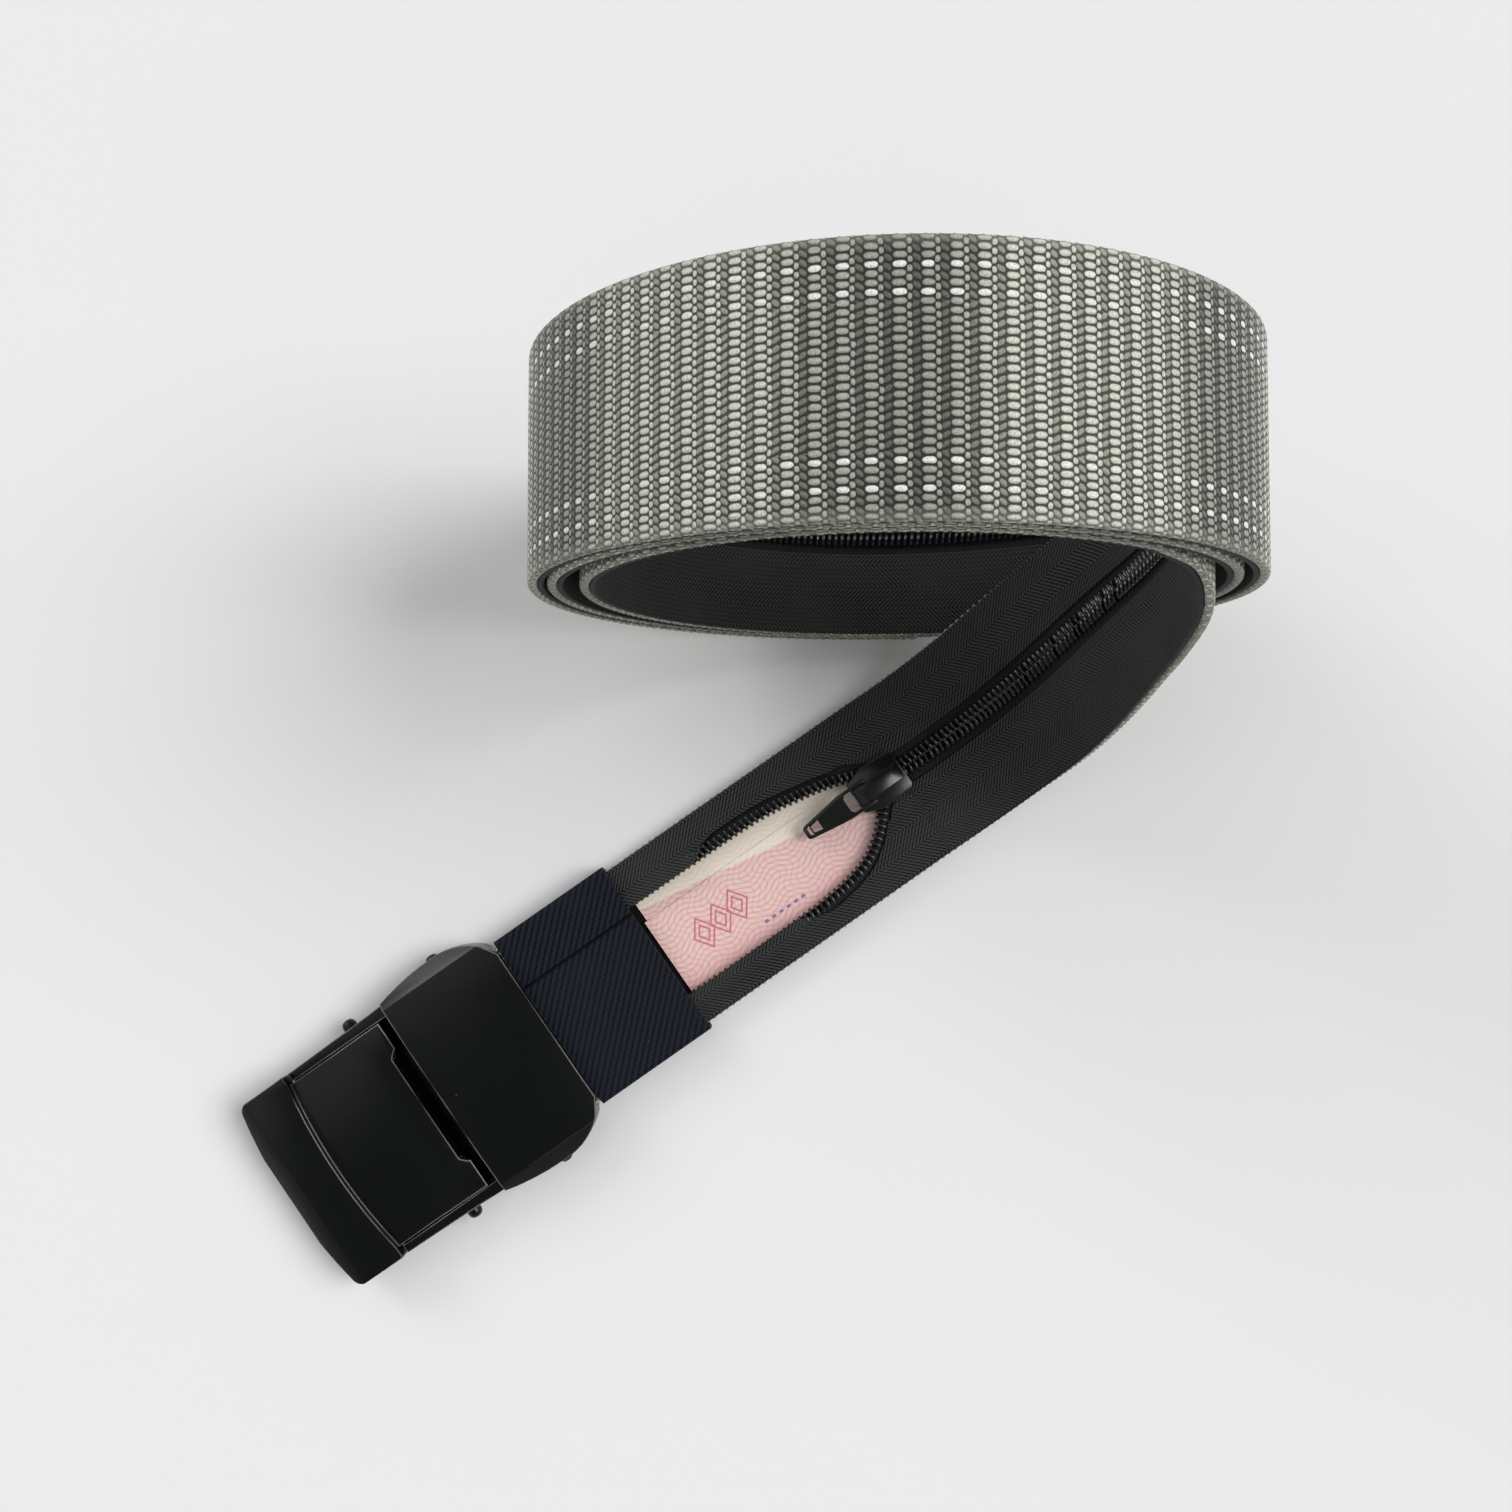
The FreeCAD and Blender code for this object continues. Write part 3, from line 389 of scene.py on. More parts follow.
@dataclass(frozen=True)
class WebbingFinish(Finish):
    """Ribbed webbing: columns of oval yarn floats, slanting strands between them, white markers, painted shade in the
    gaps between the floats and in bands along the belt.

    Fields:
        period: Distance from one column of long floats to the next, in millimetres.
        row: Distance from one float to the next across the belt.
        marker_rows: Places across the belt where a float is white.
        zone_at: Place along the belt where the bands of painted shade are darkest.
        zone_length: Distance from one band of painted shade to the next.
    """

    name: str = "webbing_weave"
    period: float = 3.7
    row: float = 1.22
    marker_rows: tuple[float, ...] = (14.64, 10.98, -10.98, -14.64)
    # Bands of painted shade along the belt, standing in for light falling unevenly on the roll.
    zone_at: float = 0.0
    zone_length: float = 58.0
    light: tuple[float, ...] = colour(232, 232, 220)
    shade: tuple[float, ...] = colour(168, 168, 156)
    # Painted shade in the gaps between the yarn floats.
    gap: tuple[float, ...] = colour(52, 52, 46)
    marker: tuple[float, ...] = colour(252, 252, 248)

    def build(self) -> bpy.types.Material:
        """The webbing's material, drawn on the belt's own plane in millimetres."""
        material, graph, shader = self.start()
        plane = graph.add("ShaderNodeUVMap", uv_map="belt").outputs[0]
        across, along, _ = graph.axes(plane)
        wobble = graph.math("SUBTRACT", graph.noise(plane, 0.35, 1.0), 0.5)
        run = graph.math("MULTIPLY_ADD", wobble, 0.55, along)
        place = graph.math("FRACT", graph.math("DIVIDE", run, self.period))
        drift = graph.math("SUBTRACT", graph.noise(plane, 0.8, 2.0), 0.5)
        rows = graph.math("MULTIPLY_ADD", drift, 0.16, graph.math("DIVIDE", across, self.row))
        # Painted shade: the weave darkens in bands along the belt, broken up by noise.
        offset = graph.math("MULTIPLY", graph.math("SUBTRACT", along, self.zone_at), 2 * math.pi / self.zone_length)
        wave = graph.math("MULTIPLY_ADD", graph.math("COSINE", offset), 0.5, 0.5)
        patch = graph.noise(graph.vector(0.0, graph.math("MULTIPLY", along, 0.045), 3.7), 1.0, 1.0)
        painted_shade = graph.math("MULTIPLY", graph.step(wave, 0.25, 0.95), graph.step(patch, 0.1, 0.45))

        floats = self.oval(graph, place, rows, 0.26, 0.27, 0.44, 0.0)
        reverse = graph.math("GREATER_THAN", graph.math("ABSOLUTE", across), 9.8)
        slant = graph.math("MULTIPLY_ADD", reverse, -2.6, 1.3)
        strands = self.oval(graph, place, graph.math("ADD", rows, 0.3), 0.68, 0.16, 0.4, slant)
        dots = self.oval(graph, place, graph.math("ADD", rows, 0.5), 0.92, 0.11, 0.42, 0.0)

        marked: Socket | float = 0.0
        for centre in self.marker_rows:
            off = graph.math("ABSOLUTE", graph.math("SUBTRACT", across, centre))
            marked = graph.math("MAXIMUM", graph.math("LESS_THAN", off, self.row / 2), marked)
        marks = graph.math("MULTIPLY", graph.step(floats, 0.15, 0.6), marked)

        # The painted shade bands darken the gaps, the floats and the strands.
        gap = graph.blend(painted_shade, self.shade_of(self.gap, 1.7), self.shade_of(self.gap, 0.4))
        light = graph.blend(painted_shade, self.light, self.shade_of(self.light, 0.5))
        shade = graph.blend(painted_shade, self.shade, self.shade_of(self.shade, 0.32))
        # Each float runs from the painted gap shade at its rim to light at its crown: a painted rounding.
        base = graph.blend(graph.step(strands, 0.0, 0.62), gap, shade)
        base = graph.blend(graph.step(dots, 0.0, 0.7), base, light)
        base = graph.blend(graph.step(floats, 0.0, 0.7), base, light)
        rim = graph.step(graph.math("ABSOLUTE", across), 16.6, 18.6)
        base = graph.blend(graph.math("MULTIPLY", rim, 0.25), base, self.shade_of(self.light, 0.7))
        base = graph.blend(marks, base, self.marker)
        flecks = graph.noise(plane, 3.4, 4.0)
        tint = graph.blend(graph.step(flecks, 0.3, 0.7), (0.72, 0.72, 0.7, 1), (1.12, 1.12, 1.1, 1))
        base = graph.blend(1.0, base, tint, "MULTIPLY")
        graph.feed(shader.inputs["Base Color"], base)
        height = graph.math("MAXIMUM", floats, graph.math("MULTIPLY", strands, 0.7))
        height = graph.math("MAXIMUM", height, graph.math("MULTIPLY", dots, 0.8))
        fibre = graph.math("MULTIPLY_ADD", graph.noise(plane, 9.0, 3.0), 0.3, height)
        self.bump(graph, shader, fibre, 0.9, 0.00036)
        shader.inputs["Roughness"].default_value = 0.6
        shader.inputs["Specular IOR Level"].default_value = 0.4
        shader.inputs["Sheen Weight"].default_value = 0.1
        return material

    @staticmethod
    def oval(
        graph: Graph, place: Socket, rows: Socket, centre: float, long: float, wide: float, slant: object
    ) -> Socket:
        """Height of one column of oval floats.

        Args:
            graph: The material's Graph.
            place: Place in the period, from 0 to 1.
            rows: Place across the belt in rows.
            centre: Place of the column in the period.
            long: Half the float's length as a share of the period.
            wide: Half the float's width in rows.
            slant: Rows that a float drops over one period.

        Returns:
            A height from 0 at the rim to 1 in the middle.
        """
        off = graph.math("SUBTRACT", place, centre)
        shifted = graph.math("MULTIPLY_ADD", off, slant, rows)
        side = graph.math("DIVIDE", graph.math("PINGPONG", shifted, 0.5), wide)
        end = graph.math("DIVIDE", off, long)
        reach = graph.math("ADD", graph.math("POWER", side, 2.0), graph.math("POWER", graph.math("ABSOLUTE", end), 3.0))
        return graph.math("SUBTRACT", 1.0, reach, clamp=True)

    @staticmethod
    def shade_of(tone: tuple[float, ...], share: float) -> tuple[float, ...]:
        """A colour made darker or lighter."""
        return (*(part * share for part in tone[:3]), 1.0)


class Weave(Enum):
    """Ways in which a cloth is woven."""

    PLAIN = "plain"
    HERRINGBONE = "herringbone"
    TWILL = "twill"


@dataclass(frozen=True)
class ClothFinish(Finish):
    """A dark cloth with a fine weave, and a painted shadow line along a seam where one is given."""

    name: str
    body: tuple[float, ...]
    ridge: tuple[float, ...]
    weave: Weave
    pitch: float
    slope: float = 1.0
    rise: float = 0.00008
    sheen: float = 0.2
    roughness: float = 0.8
    seam: float | None = None

    def build(self) -> bpy.types.Material:
        """The cloth's material, drawn on the belt's own plane in millimetres."""
        material, graph, shader = self.start()
        plane = graph.add("ShaderNodeUVMap", uv_map="belt").outputs[0]
        if self.weave is Weave.PLAIN:
            pattern = graph.place(Groups.weave(), Vector=plane, Pitch=self.pitch)
        else:
            turn = 9.0 if self.weave is Weave.HERRINGBONE else 0.0
            pattern = graph.place(Groups.twill(), Vector=plane, Pitch=self.pitch, Slope=self.slope, Turn=turn)
        height = pattern.outputs[0]
        where = graph.add("ShaderNodeTexCoord").outputs["Object"]
        grain = graph.place(Groups.grain(), Vector=where, Scale=1800.0)
        lit = graph.blend(graph.step(height, 0.2, 1.0), self.body, self.ridge)
        patch = graph.step(grain.outputs["Broad"], 0.3, 0.75)
        lit = graph.blend(graph.math("MULTIPLY", patch, 0.35), lit, self.ridge)
        lint = graph.place(Groups.dust(), Vector=where, Scale=900.0, Share=0.03)
        lit = graph.blend(graph.math("MULTIPLY", lint.outputs[0], 0.35), lit, colour(150, 150, 148))
        # Painted shadow line along the lapped seam.
        if self.seam is not None:
            across = graph.axes(plane)[0]
            off = graph.math("ABSOLUTE", graph.math("SUBTRACT", across, self.seam))
            lit = graph.blend(graph.step(off, 0.5, 0.15), lit, self.body)
        graph.feed(shader.inputs["Base Color"], lit)
        rough = graph.math("MULTIPLY_ADD", grain.outputs["Fine"], 0.15, self.roughness - 0.08)
        graph.feed(shader.inputs["Roughness"], rough)
        self.bump(graph, shader, height, 0.8, self.rise)
        shader.inputs["Specular IOR Level"].default_value = 0.12
        shader.inputs["Sheen Weight"].default_value = self.sheen
        shader.inputs["Sheen Roughness"].default_value = 0.5
        return material


@dataclass(frozen=True)
class CoatedFinish(Finish):
    """A coated metal or a moulded plastic, with grain, and edges that are partly scuffed and partly lit by a painted
    highlight.
    """

    name: str
    body: tuple[float, ...]
    worn: tuple[float, ...]
    wear: float = 0.5
    reach: float = 0.0005
    roughness: float = 0.42
    metallic: float = 0.0
    specular: float = 0.45
    dust: float = 0.03

    def build(self) -> bpy.types.Material:
        """The coating's material, on Object coordinates."""
        material, graph, shader = self.start()
        where = graph.add("ShaderNodeTexCoord").outputs["Object"]
        grain = graph.place(Groups.grain(), Vector=where, Scale=2600.0)
        edge = graph.place(Groups.edge_wear(), Vector=where, Reach=self.reach, Amount=self.wear)
        specks = graph.place(Groups.dust(), Vector=where, Scale=380.0, Share=self.dust)
        # The lighter edge colour is partly scuffing and partly a painted highlight.
        base = graph.blend(edge.outputs[0], self.body, self.worn)
        base = graph.blend(graph.math("MULTIPLY", specks.outputs[0], 0.3), base, colour(120, 120, 120))
        graph.feed(shader.inputs["Base Color"], base)
        broad = graph.math("MULTIPLY_ADD", grain.outputs["Broad"], 0.16, self.roughness - 0.08)
        fine = graph.math("MULTIPLY_ADD", grain.outputs["Fine"], 0.1, -0.05)
        graph.feed(shader.inputs["Roughness"], graph.math("ADD", broad, fine, clamp=True))
        self.bump(graph, shader, grain.outputs["Fine"], 0.25, 0.00003)
        shader.inputs["Metallic"].default_value = self.metallic
        shader.inputs["Specular IOR Level"].default_value = self.specular
        return material


@dataclass(frozen=True)
class PaperFinish(Finish):
    """Printed paper with a made-up pattern: wavy rose lines, a cream band and a row of lozenges.

    Fields:
        band: Where the cream band starts across the note, in millimetres, at its two ends.
    """

    name: str = "note_print"
    cream: tuple[float, ...] = colour(250, 240, 224)
    rose: tuple[float, ...] = colour(240, 208, 202)
    ink: tuple[float, ...] = colour(214, 128, 140)
    dark_ink: tuple[float, ...] = colour(196, 84, 106)
    blue_ink: tuple[float, ...] = colour(120, 110, 158)
    band: tuple[float, float] = (7.6, 1.4)

    def build(self) -> bpy.types.Material:
        """The paper's material, drawn on its own plane in millimetres."""
        material, graph, shader = self.start()
        plane = graph.add("ShaderNodeUVMap", uv_map="belt").outputs[0]
        across, along, _ = graph.axes(plane)
        wave = graph.math("SINE", graph.math("MULTIPLY", along, 0.62))
        bent = graph.math("MULTIPLY_ADD", wave, 0.9, across)
        lines = graph.step(graph.math("PINGPONG", graph.math("MULTIPLY", bent, 0.85), 0.5), 0.28, 0.06)
        tide = graph.math("SINE", graph.math("MULTIPLY", across, 0.9))
        cross = graph.math("MULTIPLY_ADD", tide, 1.3, along)
        net = graph.step(graph.math("PINGPONG", graph.math("MULTIPLY", cross, 0.62), 0.5), 0.2, 0.05)

        start, end = self.band
        edge = graph.math("MULTIPLY_ADD", along, (end - start) / 40.0, start)
        ragged = graph.math("MULTIPLY_ADD", graph.noise(plane, 0.5, 2.0), 0.8, edge)
        above = graph.step(graph.math("SUBTRACT", across, ragged), -0.3, 0.5)
        base = graph.blend(above, self.rose, self.cream)
        deep = graph.step(across, -5.0, -12.0)
        base = graph.blend(graph.math("MULTIPLY", deep, 0.28), base, self.ink)
        pale = graph.math("MULTIPLY_ADD", above, -0.75, 1.0)
        base = graph.blend(graph.math("MULTIPLY", graph.math("MULTIPLY", lines, 0.42), pale), base, self.ink)
        base = graph.blend(graph.math("MULTIPLY", graph.math("MULTIPLY", net, 0.3), pale), base, self.ink)

        for reach, count in ((2.5, 3), (1.3, 3)):
            shape = self.lozenges(graph, across, along, reach, count)
            base = graph.blend(graph.math("MULTIPLY", shape, 0.85), base, self.dark_ink)
        dash = graph.step(graph.math("ABSOLUTE", graph.math("ADD", across, 8.6)), 0.42, 0.22)
        beat = graph.step(graph.math("PINGPONG", graph.math("MULTIPLY", along, 0.55), 0.5), 0.2, 0.3)
        reach = graph.math("MULTIPLY", graph.step(along, 20.0, 20.4), graph.step(along, 31.0, 30.6))
        base = graph.blend(graph.math("MULTIPLY", graph.math("MULTIPLY", dash, beat), reach), base, self.blue_ink)

        where = graph.add("ShaderNodeTexCoord").outputs["Object"]
        grain = graph.place(Groups.grain(), Vector=where, Scale=4200.0)
        base = graph.blend(graph.math("MULTIPLY", grain.outputs["Fine"], 0.12), base, self.cream)
        graph.feed(shader.inputs["Base Color"], base)
        height = graph.math("MULTIPLY_ADD", lines, 0.3, grain.outputs["Fine"])
        self.bump(graph, shader, height, 0.3, 0.00004)
        shader.inputs["Roughness"].default_value = 0.7
        shader.inputs["Specular IOR Level"].default_value = 0.3
        return material

    @staticmethod
    def lozenges(graph: Graph, across: Socket, along: Socket, reach: float, count: int) -> Socket:
        """Outlines of a row of lozenges.

        Args:
            graph: The material's Graph.
            across: Place across the note.
            along: Place along the note.
            reach: Half the width of a lozenge.
            count: How many there are.

        Returns:
            A mask of the outlines.
        """
        found: Socket | float = 0.0
        for i in range(count):
            off_along = graph.math("ABSOLUTE", graph.math("SUBTRACT", along, 9.0 + 4.4 * i))
            off_across = graph.math("ABSOLUTE", graph.math("ADD", across, 3.2 - 0.5 * i))
            far = graph.math("MULTIPLY_ADD", off_across, 0.72, off_along)
            line = graph.step(graph.math("ABSOLUTE", graph.math("SUBTRACT", far, reach)), 0.34, 0.14)
            found = graph.math("MAXIMUM", line, found)
        return found


@dataclass(frozen=True)
class FloorFinish(Finish):
    """The plain pale table."""

    name: str = "pale_table"
    tone: tuple[float, ...] = colour(240, 240, 240)

    def build(self) -> bpy.types.Material:
        """The table's material."""
        material, graph, shader = self.start()
        shader.inputs["Base Color"].default_value = self.tone
        shader.inputs["Roughness"].default_value = 1.0
        shader.inputs["Specular IOR Level"].default_value = 0.0
        return material


class Palette:
    """The finishes of the belt, each made once."""

    def __init__(self, zone_at: float) -> None:
        """Make every material.

        Args:
            zone_at: Place along the belt where the webbing's painted shade is darkest.
        """
        self.webbing = WebbingFinish(zone_at=zone_at).build()
        # Each finish's lighter edge colour is partly scuffing and partly a painted highlight.
        self.yarn = CoatedFinish(
            "selvedge_yarn", colour(150, 149, 136), colour(214, 214, 202), wear=0.6, reach=0.0003,
            roughness=0.7, specular=0.25, dust=0.0,
        ).build()
        self.lining = ClothFinish(
            "lining_herringbone", colour(5, 6, 6), colour(62, 64, 63), Weave.HERRINGBONE, 0.9, 1.0, 0.00014, 0.03,
        ).build()
        self.tape = ClothFinish(
            "tape_weave", colour(8, 9, 9), colour(44, 46, 45), Weave.PLAIN, 0.5, rise=0.00008, sheen=0.03,
        ).build()
        self.backing = ClothFinish(
            "backing_weave", colour(5, 5, 5), colour(22, 22, 23), Weave.PLAIN, 0.4, rise=0.00004, sheen=0.02,
        ).build()
        # The keeper's twill carries a painted shadow line along its seam, 8.5 mm across the belt.
        self.twill = ClothFinish(
            "keeper_twill", colour(4, 5, 8), colour(31, 34, 45), Weave.TWILL, 1.73, -1.06, 0.0002, 0.03, seam=8.5,
        ).build()
        self.nylon = CoatedFinish(
            "nylon_coil", colour(11, 12, 12), colour(50, 52, 52), roughness=0.26, specular=0.7, dust=0.0,
        ).build()
        self.gloss = CoatedFinish(
            "slider_enamel", colour(8, 8, 9), colour(92, 92, 92), wear=0.22, reach=0.0003,
            roughness=0.24, specular=0.6,
        ).build()
        self.satin = CoatedFinish(
            "buckle_coating", colour(6, 8, 8), colour(150, 150, 146), wear=0.9, reach=0.0004,
            roughness=0.25, specular=0.3, dust=0.04,
        ).build()
        self.steel = CoatedFinish(
            "plain_steel", colour(150, 150, 152), colour(205, 205, 205), wear=0.4, roughness=0.35, metallic=1.0,
        ).build()
        self.paper = PaperFinish().build()


# Mesh helpers


def add_object(name: str, mesh: bpy.types.Mesh) -> bpy.types.Object:
    """Put a mesh into the scene as an object at the origin."""
    obj = bpy.data.objects.new(name, mesh)
    bpy.context.collection.objects.link(obj)
    return obj


def smooth(mesh: bpy.types.Mesh, degrees: float = 35.0) -> None:
    """Shade a mesh smooth, but keep edges over an angle sharp.

    Args:
        mesh: The mesh.
        degrees: The angle.
    """
    mesh.shade_smooth()
    mesh.set_sharp_from_angle(angle=math.radians(degrees))


def soften(points: Outline, radius: float, steps: int = 3) -> Outline:
    """Round the corners of a closed outline.

    Args:
        points: Corners of the outline.
        radius: How far from a corner its rounding starts.
        steps: Divisions of each corner.

    Returns:
        The rounded outline, with steps + 1 points for each corner.
    """
    found: Outline = []
    count = len(points)
    for i in range(count):
        here = Vector(points[i])
        before, after = Vector(points[i - 1]) - here, Vector(points[(i + 1) % count]) - here
        first = here + before * min(radius / max(before.length, 1e-6), 0.48)
        last = here + after * min(radius / max(after.length, 1e-6), 0.48)
        for k in range(steps + 1):
            t = k / steps
            spot = first * (1 - t) ** 2 + here * 2 * t * (1 - t) + last * t**2
            found.append((spot.x, spot.y))
    return found


@dataclass(frozen=True)
class Station:
    """One place along the belt, in millimetres.

    Fields:
        centre: Middle of the belt's outer face.
        width: Direction from the near edge to the far edge.
        inward: Direction from the outer face to the lining.
        run: Distance along the belt.
    """

    centre: Vector
    width: Vector
    inward: Vector
    run: float

    def point(self, across: float, level: float) -> Vector:
        """A point of the belt's section here, in metres."""
        return (self.centre + self.width * across + self.inward * level) * MM


def sweep(
    name: str, stations: Sequence[Station], outlines: Sequence[Outline], wrapped: bool = False
) -> bpy.types.Object:
    """Loft closed outlines along the belt, with the belt's plane as UV map.

    Args:
        name: Name of the object.
        stations: Places along the belt.
        outlines: One outline of (across, level) points for each station.
        wrapped: Whether the pattern runs on round the belt's two sides.

    Returns:
        The new object.
    """
    verts: list[Vector] = []
    plane: list[tuple[float, float]] = []
    for station, ring in zip(stations, outlines):
        for across, level in ring:
            verts.append(station.point(across, level))
            round_side = math.copysign(level, across) if wrapped else 0.0
            plane.append((across + round_side, station.run))
    size = len(outlines[0])
    faces: list[list[int]] = []
    for i in range(len(stations) - 1):
        for k in range(size):
            n = (k + 1) % size
            faces.append([i * size + k, i * size + n, (i + 1) * size + n, (i + 1) * size + k])
    last = (len(stations) - 1) * size
    faces.append(list(range(size))[::-1])
    faces.append([last + k for k in range(size)])
    return from_faces(name, verts, faces, plane)


def from_faces(
    name: str,
    verts: Sequence[Vector],
    faces: Sequence[Sequence[int]],
    plane: Sequence[tuple[float, float]] | None = None,
    sharp: float = 35.0,
) -> bpy.types.Object:
    """Make an object of points and faces, with its faces pointing outwards.

    Args:
        name: Name of the object.
        verts: Points in metres.
        faces: Indices of each face's points.
        plane: A UV place for each point.
        sharp: Edges over this angle stay sharp.

    Returns:
        The new object.
    """
    mesh = bpy.data.meshes.new(name)
    mesh.from_pydata([tuple(v) for v in verts], [], [list(f) for f in faces])
    shape = bmesh.new()
    shape.from_mesh(mesh)
    bmesh.ops.recalc_face_normals(shape, faces=shape.faces)
    shape.to_mesh(mesh)
    shape.free()
    if plane is not None:
        layer = mesh.uv_layers.new(name="belt")
        for loop in mesh.loops:
            layer.data[loop.index].uv = plane[loop.vertex_index]
    smooth(mesh, sharp)
    return add_object(name, mesh)


def rounded_copy(node: str, name: str, width: float, segments: int = 3) -> bpy.types.Object:
    """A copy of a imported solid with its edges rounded.

    Args:
        node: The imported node.
        name: Name of the new object.
        width: Width of the rounding in metres.
        segments: Divisions of the rounding.

    Returns:
        The new object.
    """
    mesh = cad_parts[node].data.copy()
    mesh.name = name
    shape = bmesh.new()
    shape.from_mesh(mesh)
    bmesh.ops.remove_doubles(shape, verts=shape.verts, dist=1e-6)
    bmesh.ops.dissolve_limit(
        shape, angle_limit=math.radians(1.5), verts=shape.verts, edges=shape.edges, delimit={"NORMAL"}
    )
    bmesh.ops.recalc_face_normals(shape, faces=shape.faces)
    shape.to_mesh(mesh)
    shape.free()
    mesh.materials.clear()
    obj = add_object(name, mesh)
    bevel = obj.modifiers.new("rounding", "BEVEL")
    bevel.width = width
    bevel.segments = segments
    bevel.limit_method = "ANGLE"
    bevel.angle_limit = math.radians(25)
    bevel.harden_normals = False
    settle(obj)
    smooth(obj.data)
    return obj


def settle(obj: bpy.types.Object) -> None:
    """Turn an object's modifiers into plain mesh.

    Args:
        obj: The object.
    """
    graph = bpy.context.evaluated_depsgraph_get()
    done = bpy.data.meshes.new_from_object(obj.evaluated_get(graph), depsgraph=graph)
    done.name = obj.name
    obj.modifiers.clear()
    obj.data = done


def dress(
    obj: bpy.types.Object, material: bpy.types.Material, body: str, slot: str, *nodes: str
) -> bpy.types.Object:
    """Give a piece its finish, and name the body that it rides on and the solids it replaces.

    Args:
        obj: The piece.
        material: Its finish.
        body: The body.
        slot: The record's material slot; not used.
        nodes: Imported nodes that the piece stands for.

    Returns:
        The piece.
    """
    obj.data.materials.clear()
    obj.data.materials.append(material)
    if nodes:
        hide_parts(*nodes)
    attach(obj, body)
    LOG.info("%s: %d faces on %s", obj.name, len(obj.data.polygons), body)
    return obj


class Repeat:
    """Geometry Nodes that set one small form again and again along a line."""

    def __init__(self, name: str, unit: Callable[[Graph, dict[str, Socket]], Socket], sizes: dict[str, float]) -> None:
        """Build the tree.

        Args:
            name: Name of the tree.
            unit: Function that makes the small form from the sizes.
            sizes: Named sizes in metres with their defaults.
        """
        tree = bpy.data.node_groups.new(name, "GeometryNodeTree")
        tree.interface.new_socket("Geometry", in_out="INPUT", socket_type="NodeSocketGeometry")
        values = {"Spacing": 0.001, "Lean": 0.0, "Unevenness": 0.03, **sizes}
        for word, value in values.items():
            made = tree.interface.new_socket(word, in_out="INPUT", socket_type="NodeSocketFloat")
            made.default_value = value
        tree.interface.new_socket("Seed", in_out="INPUT", socket_type="NodeSocketInt")
        tree.interface.new_socket("Finish", in_out="INPUT", socket_type="NodeSocketMaterial")
        tree.interface.new_socket("Geometry", in_out="OUTPUT", socket_type="NodeSocketGeometry")
        graph = Graph(tree)
        given = graph.add("NodeGroupInput").outputs
        sockets = {socket.name: socket for socket in given if socket.name}

        line = graph.add("GeometryNodeMeshToCurve")
        graph.feed(line.inputs[0], sockets["Geometry"])
        spaced = graph.add("GeometryNodeResampleCurve", mode="LENGTH")
        graph.feed(spaced.inputs["Curve"], line.outputs[0])
        graph.feed(spaced.inputs["Length"], sockets["Spacing"])
        along = graph.add("GeometryNodeInputTangent")
        up = graph.add("GeometryNodeInputNamedAttribute", data_type="FLOAT_VECTOR")
        up.inputs["Name"].default_value = "up"
        axes = graph.add("FunctionNodeAxesToRotation", primary_axis="Z", secondary_axis="X")
        graph.feed(axes.inputs[0], up.outputs[0])
        graph.feed(axes.inputs[1], along.outputs[0])
        lean = graph.add("FunctionNodeRotateRotation", rotation_space="LOCAL")
        graph.feed(lean.inputs[0], axes.outputs[0])
        turn = graph.add("ShaderNodeCombineXYZ")
        graph.feed(turn.inputs[2], sockets["Lean"])
        graph.feed(lean.inputs[1], turn.outputs[0])
        uneven = graph.add("FunctionNodeRandomValue", data_type="FLOAT_VECTOR")
        for index, operation in ((0, "SUBTRACT"), (1, "ADD")):
            side = graph.math(operation, 1.0, sockets["Unevenness"])
            graph.feed(uneven.inputs[index], side)
        graph.feed(uneven.inputs["Seed"], sockets["Seed"])
        put = graph.add("GeometryNodeInstanceOnPoints")
        graph.feed(put.inputs["Points"], spaced.outputs[0])
        graph.feed(put.inputs["Instance"], unit(graph, sockets))
        graph.feed(put.inputs["Rotation"], lean.outputs[0])
        graph.feed(put.inputs["Scale"], uneven.outputs[0])
        real = graph.add("GeometryNodeRealizeInstances")
        graph.feed(real.inputs[0], put.outputs[0])
        shade = graph.add("GeometryNodeSetMaterial")
        graph.feed(shade.inputs["Geometry"], real.outputs[0])
        graph.feed(shade.inputs["Material"], sockets["Finish"])
        out = graph.add("NodeGroupOutput")
        graph.feed(out.inputs[0], shade.outputs[0])
        self.tree = tree

    def lay(
        self,
        name: str,
        lines: Iterable[Sequence[tuple[Vector, Vector]]],
        finish: bpy.types.Material,
        seed: int = 1,
        **sizes: float,
    ) -> bpy.types.Object:
        """Set the forms along lines and make a plain mesh of them.

        Args:
            name: Name of the new object.
            lines: Lines of (point, up direction) pairs, in metres.
            finish: The material.
            seed: Seed of the unevenness.
            sizes: Values of the tree's named inputs.

        Returns:
            The new object.
        """
        verts: list[Vector] = []
        ups: list[Vector] = []
        edges: list[tuple[int, int]] = []
        for line in lines:
            first = len(verts)
            verts += [point for point, _ in line]
            ups += [direction for _, direction in line]
            edges += [(i, i + 1) for i in range(first, len(verts) - 1)]
        mesh = bpy.data.meshes.new(name)
        mesh.from_pydata([tuple(v) for v in verts], edges, [])
        attribute = mesh.attributes.new("up", "FLOAT_VECTOR", "POINT")
        for i, direction in enumerate(ups):
            attribute.data[i].vector = direction
        obj = add_object(name, mesh)
        modifier = obj.modifiers.new("repeat", "NODES")
        modifier.node_group = self.tree
        given = {"Seed": seed, "Finish": finish, **{k.replace("_", " "): v for k, v in sizes.items()}}
        for item in self.tree.interface.items_tree:
            if item.in_out == "INPUT" and item.name in given:
                modifier[item.identifier] = given[item.name]
        settle(obj)
        smooth(obj.data, 60.0)
        return obj


# The belt


